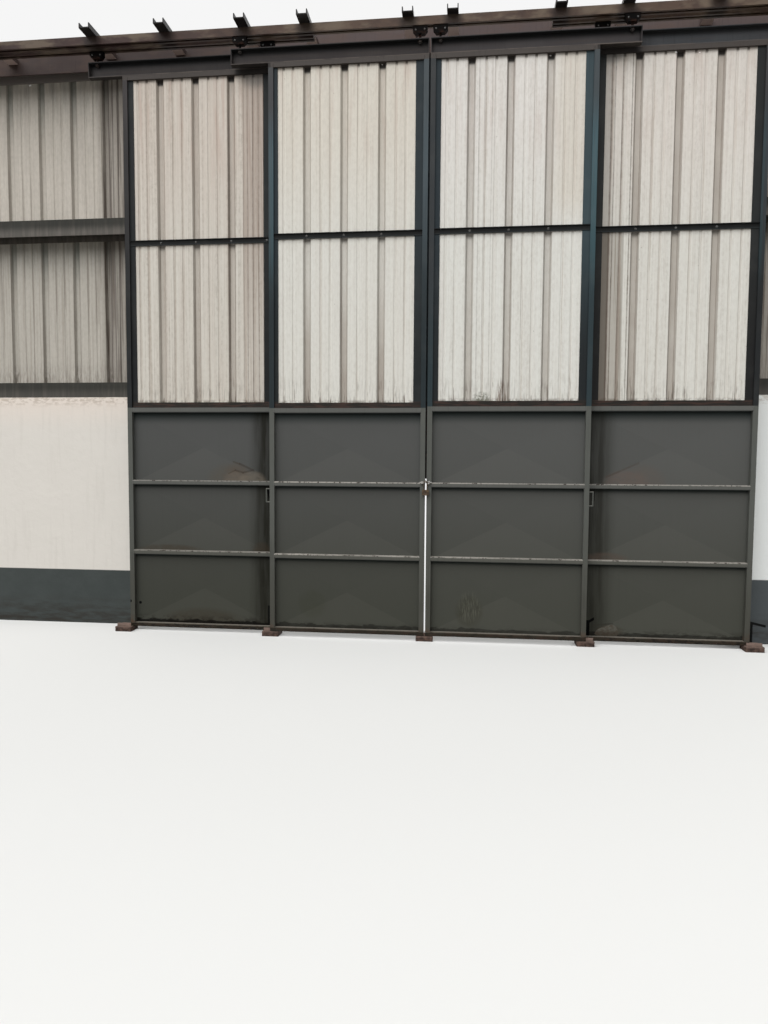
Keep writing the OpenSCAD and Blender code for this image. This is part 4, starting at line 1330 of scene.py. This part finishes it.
# %% Torn strip of plate
TORN_LEFT = 3.90
TORN_LOW = 0.066
TORN_LENGTH = 0.20
TORN_SET_IN = 0.004
TORN_THICKNESS = 0.0015
COLUMNS, ROWS = 7, 3
# Column by column: how far the strip bulges, how high it stands and how far its top leans over
CRUMPLE = (
    (0.002, 0.020, 0.000), (0.004, 0.048, 0.003), (0.006, 0.066, 0.005), (0.007, 0.076, 0.007),
    (0.008, 0.086, 0.008), (0.009, 0.094, 0.008), (0.007, 0.086, 0.005), (0.003, 0.052, 0.000),
)


def torn_strip():
    bpy.ops.object.select_all(action="DESELECT")
    bpy.ops.mesh.primitive_grid_add(x_subdivisions=COLUMNS, y_subdivisions=ROWS, size=1)
    strip = bpy.context.object
    strip.name = "torn_plate_corner"
    plate_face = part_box("right_outer_plate")[0].y
    for corner in strip.data.vertices:
        column = round((corner.co.x + 0.5) * COLUMNS)
        share = round((corner.co.y + 0.5) * ROWS) / ROWS
        bulge, height, lean = CRUMPLE[column]
        corner.co = (
            TORN_LEFT + TORN_LENGTH * column / COLUMNS + lean * share,
            plate_face + TORN_SET_IN - bulge * math.sin(math.pi * (0.25 + 0.6 * share)),
            TORN_LOW + height * share,
        )
    bpy.ops.object.mode_set(mode="EDIT")
    bpy.ops.mesh.select_all(action="SELECT")
    bpy.ops.mesh.subdivide(number_cuts=2, smoothness=0.6)
    bpy.ops.object.mode_set(mode="OBJECT")
    thick = strip.modifiers.new("thickness", "SOLIDIFY")
    thick.thickness = TORN_THICKNESS
    thick.offset = 0
    bpy.ops.object.modifier_apply(modifier=thick.name)
    bpy.ops.object.mode_set(mode="EDIT")
    bpy.ops.mesh.select_all(action="SELECT")
    bpy.ops.mesh.normals_make_consistent(inside=False)
    bpy.ops.object.mode_set(mode="OBJECT")
    bpy.ops.object.shade_smooth_by_angle(angle=math.radians(35))
    return strip


strip = torn_strip()
strip.data.materials.append(torn)
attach(strip, BODY_OF["right_outer"])
print("torn strip:", len(strip.data.polygons), "faces,", round(strip.dimensions.x, 3), "m long")

# %% [markdown]
# ## Floor and light
# The floor is pale to the eye but dark in the light that it gives back, as a dusty slab is. Outdoors
# the day lies on it, so it glows through the gap under the leaves.

# %% Floor
FLOOR_SIZE = 60
GLOW_OUTDOORS = 0.75

bpy.ops.object.select_all(action="DESELECT")
bpy.ops.mesh.primitive_plane_add(size=FLOOR_SIZE, location=(seams_x[1], 0, 0))
floor = bpy.context.object
floor.name = "studio_floor"


def studio(name, seen, reflected, daylight):
    """A plain stage material: one colour as it is seen and mirrored, one for the light it gives back."""
    finish = Finish(name)
    rays = finish.node("ShaderNodeLightPath", {}, {})
    mirrored = finish.most(rays.part("Is Glossy Ray"), rays.part("Is Transmission Ray"))
    eye = finish.most(rays.part("Is Camera Ray"), mirrored)
    finish.color = finish.mix(eye, reflected, seen)
    material = finish.done(0.9)
    glow = finish.node("ShaderNodeEmission", {}, {"Color": daylight})
    outdoors = rays.part("Is Camera Ray") * (finish.y > 0) * GLOW_OUTDOORS
    both = finish.node("ShaderNodeMixShader", {}, {0: outdoors, 2: glow})
    finish.tree.links.new(finish.shader.outputs[0], both.socket.node.inputs[1])
    finish.tree.links.new(both.socket, finish.tree.nodes["Material Output"].inputs["Surface"])
    return material


slab = studio("studio floor", tone(216, 216, 214), tone(124, 120, 114), WHITE)
floor.data.materials.append(slab)
print("floor of", slab.name)

# %% [markdown]
# The world gives the even light of a hall with pale walls. To the eye it is a plain pale backdrop.

# %% World
AMBIENT = 0.55

world = bpy.data.worlds.new("hall")
bpy.context.scene.world = world
world.use_nodes = True
tree = world.node_tree
ambient = tree.nodes["Background"]
ambient.inputs["Color"].default_value = WHITE
ambient.inputs["Strength"].default_value = AMBIENT
backdrop = tree.nodes.new("ShaderNodeBackground")
backdrop.inputs["Color"].default_value = tone(246, 246, 246)
rays = tree.nodes.new("ShaderNodeLightPath")
either = tree.nodes.new("ShaderNodeMath")
either.operation = "MAXIMUM"
tree.links.new(rays.outputs["Is Camera Ray"], either.inputs[0])
tree.links.new(rays.outputs["Is Transmission Ray"], either.inputs[1])
both = tree.nodes.new("ShaderNodeMixShader")
tree.links.new(either.outputs[0], both.inputs[0])
tree.links.new(ambient.outputs[0], both.inputs[1])
tree.links.new(backdrop.outputs[0], both.inputs[2])
tree.links.new(both.outputs[0], tree.nodes["World Output"].inputs["Surface"])
print("world", world.name, "at", AMBIENT)

# %% [markdown]
# Roof lights over the hall shine on the door from above and in front, so ledges are bright and
# undersides dark. A very soft sun lamp does that, and a weaker one stands for the day outdoors.

# %% Lamps
SOFTNESS = math.radians(70)


def soft_lamp(name, from_where, energy):
    """A sun lamp with very soft shadows, which shines from a direction towards the door."""
    lamp_data = bpy.data.lights.new(name, "SUN")
    lamp_data.angle = SOFTNESS
    lamp_data.energy = energy
    lamp = bpy.data.objects.new(name, lamp_data)
    lamp.matrix_world = Vector(from_where).to_track_quat("Z", "Y").to_matrix().to_4x4()
    bpy.context.scene.collection.objects.link(lamp)
    return lamp


for lamp in (soft_lamp("roof light", (-0.45, -1.0, 1.25), 3.2), soft_lamp("daylight", (0.3, 1.0, 0.5), 1.5)):
    print(lamp.name, lamp.data.energy)
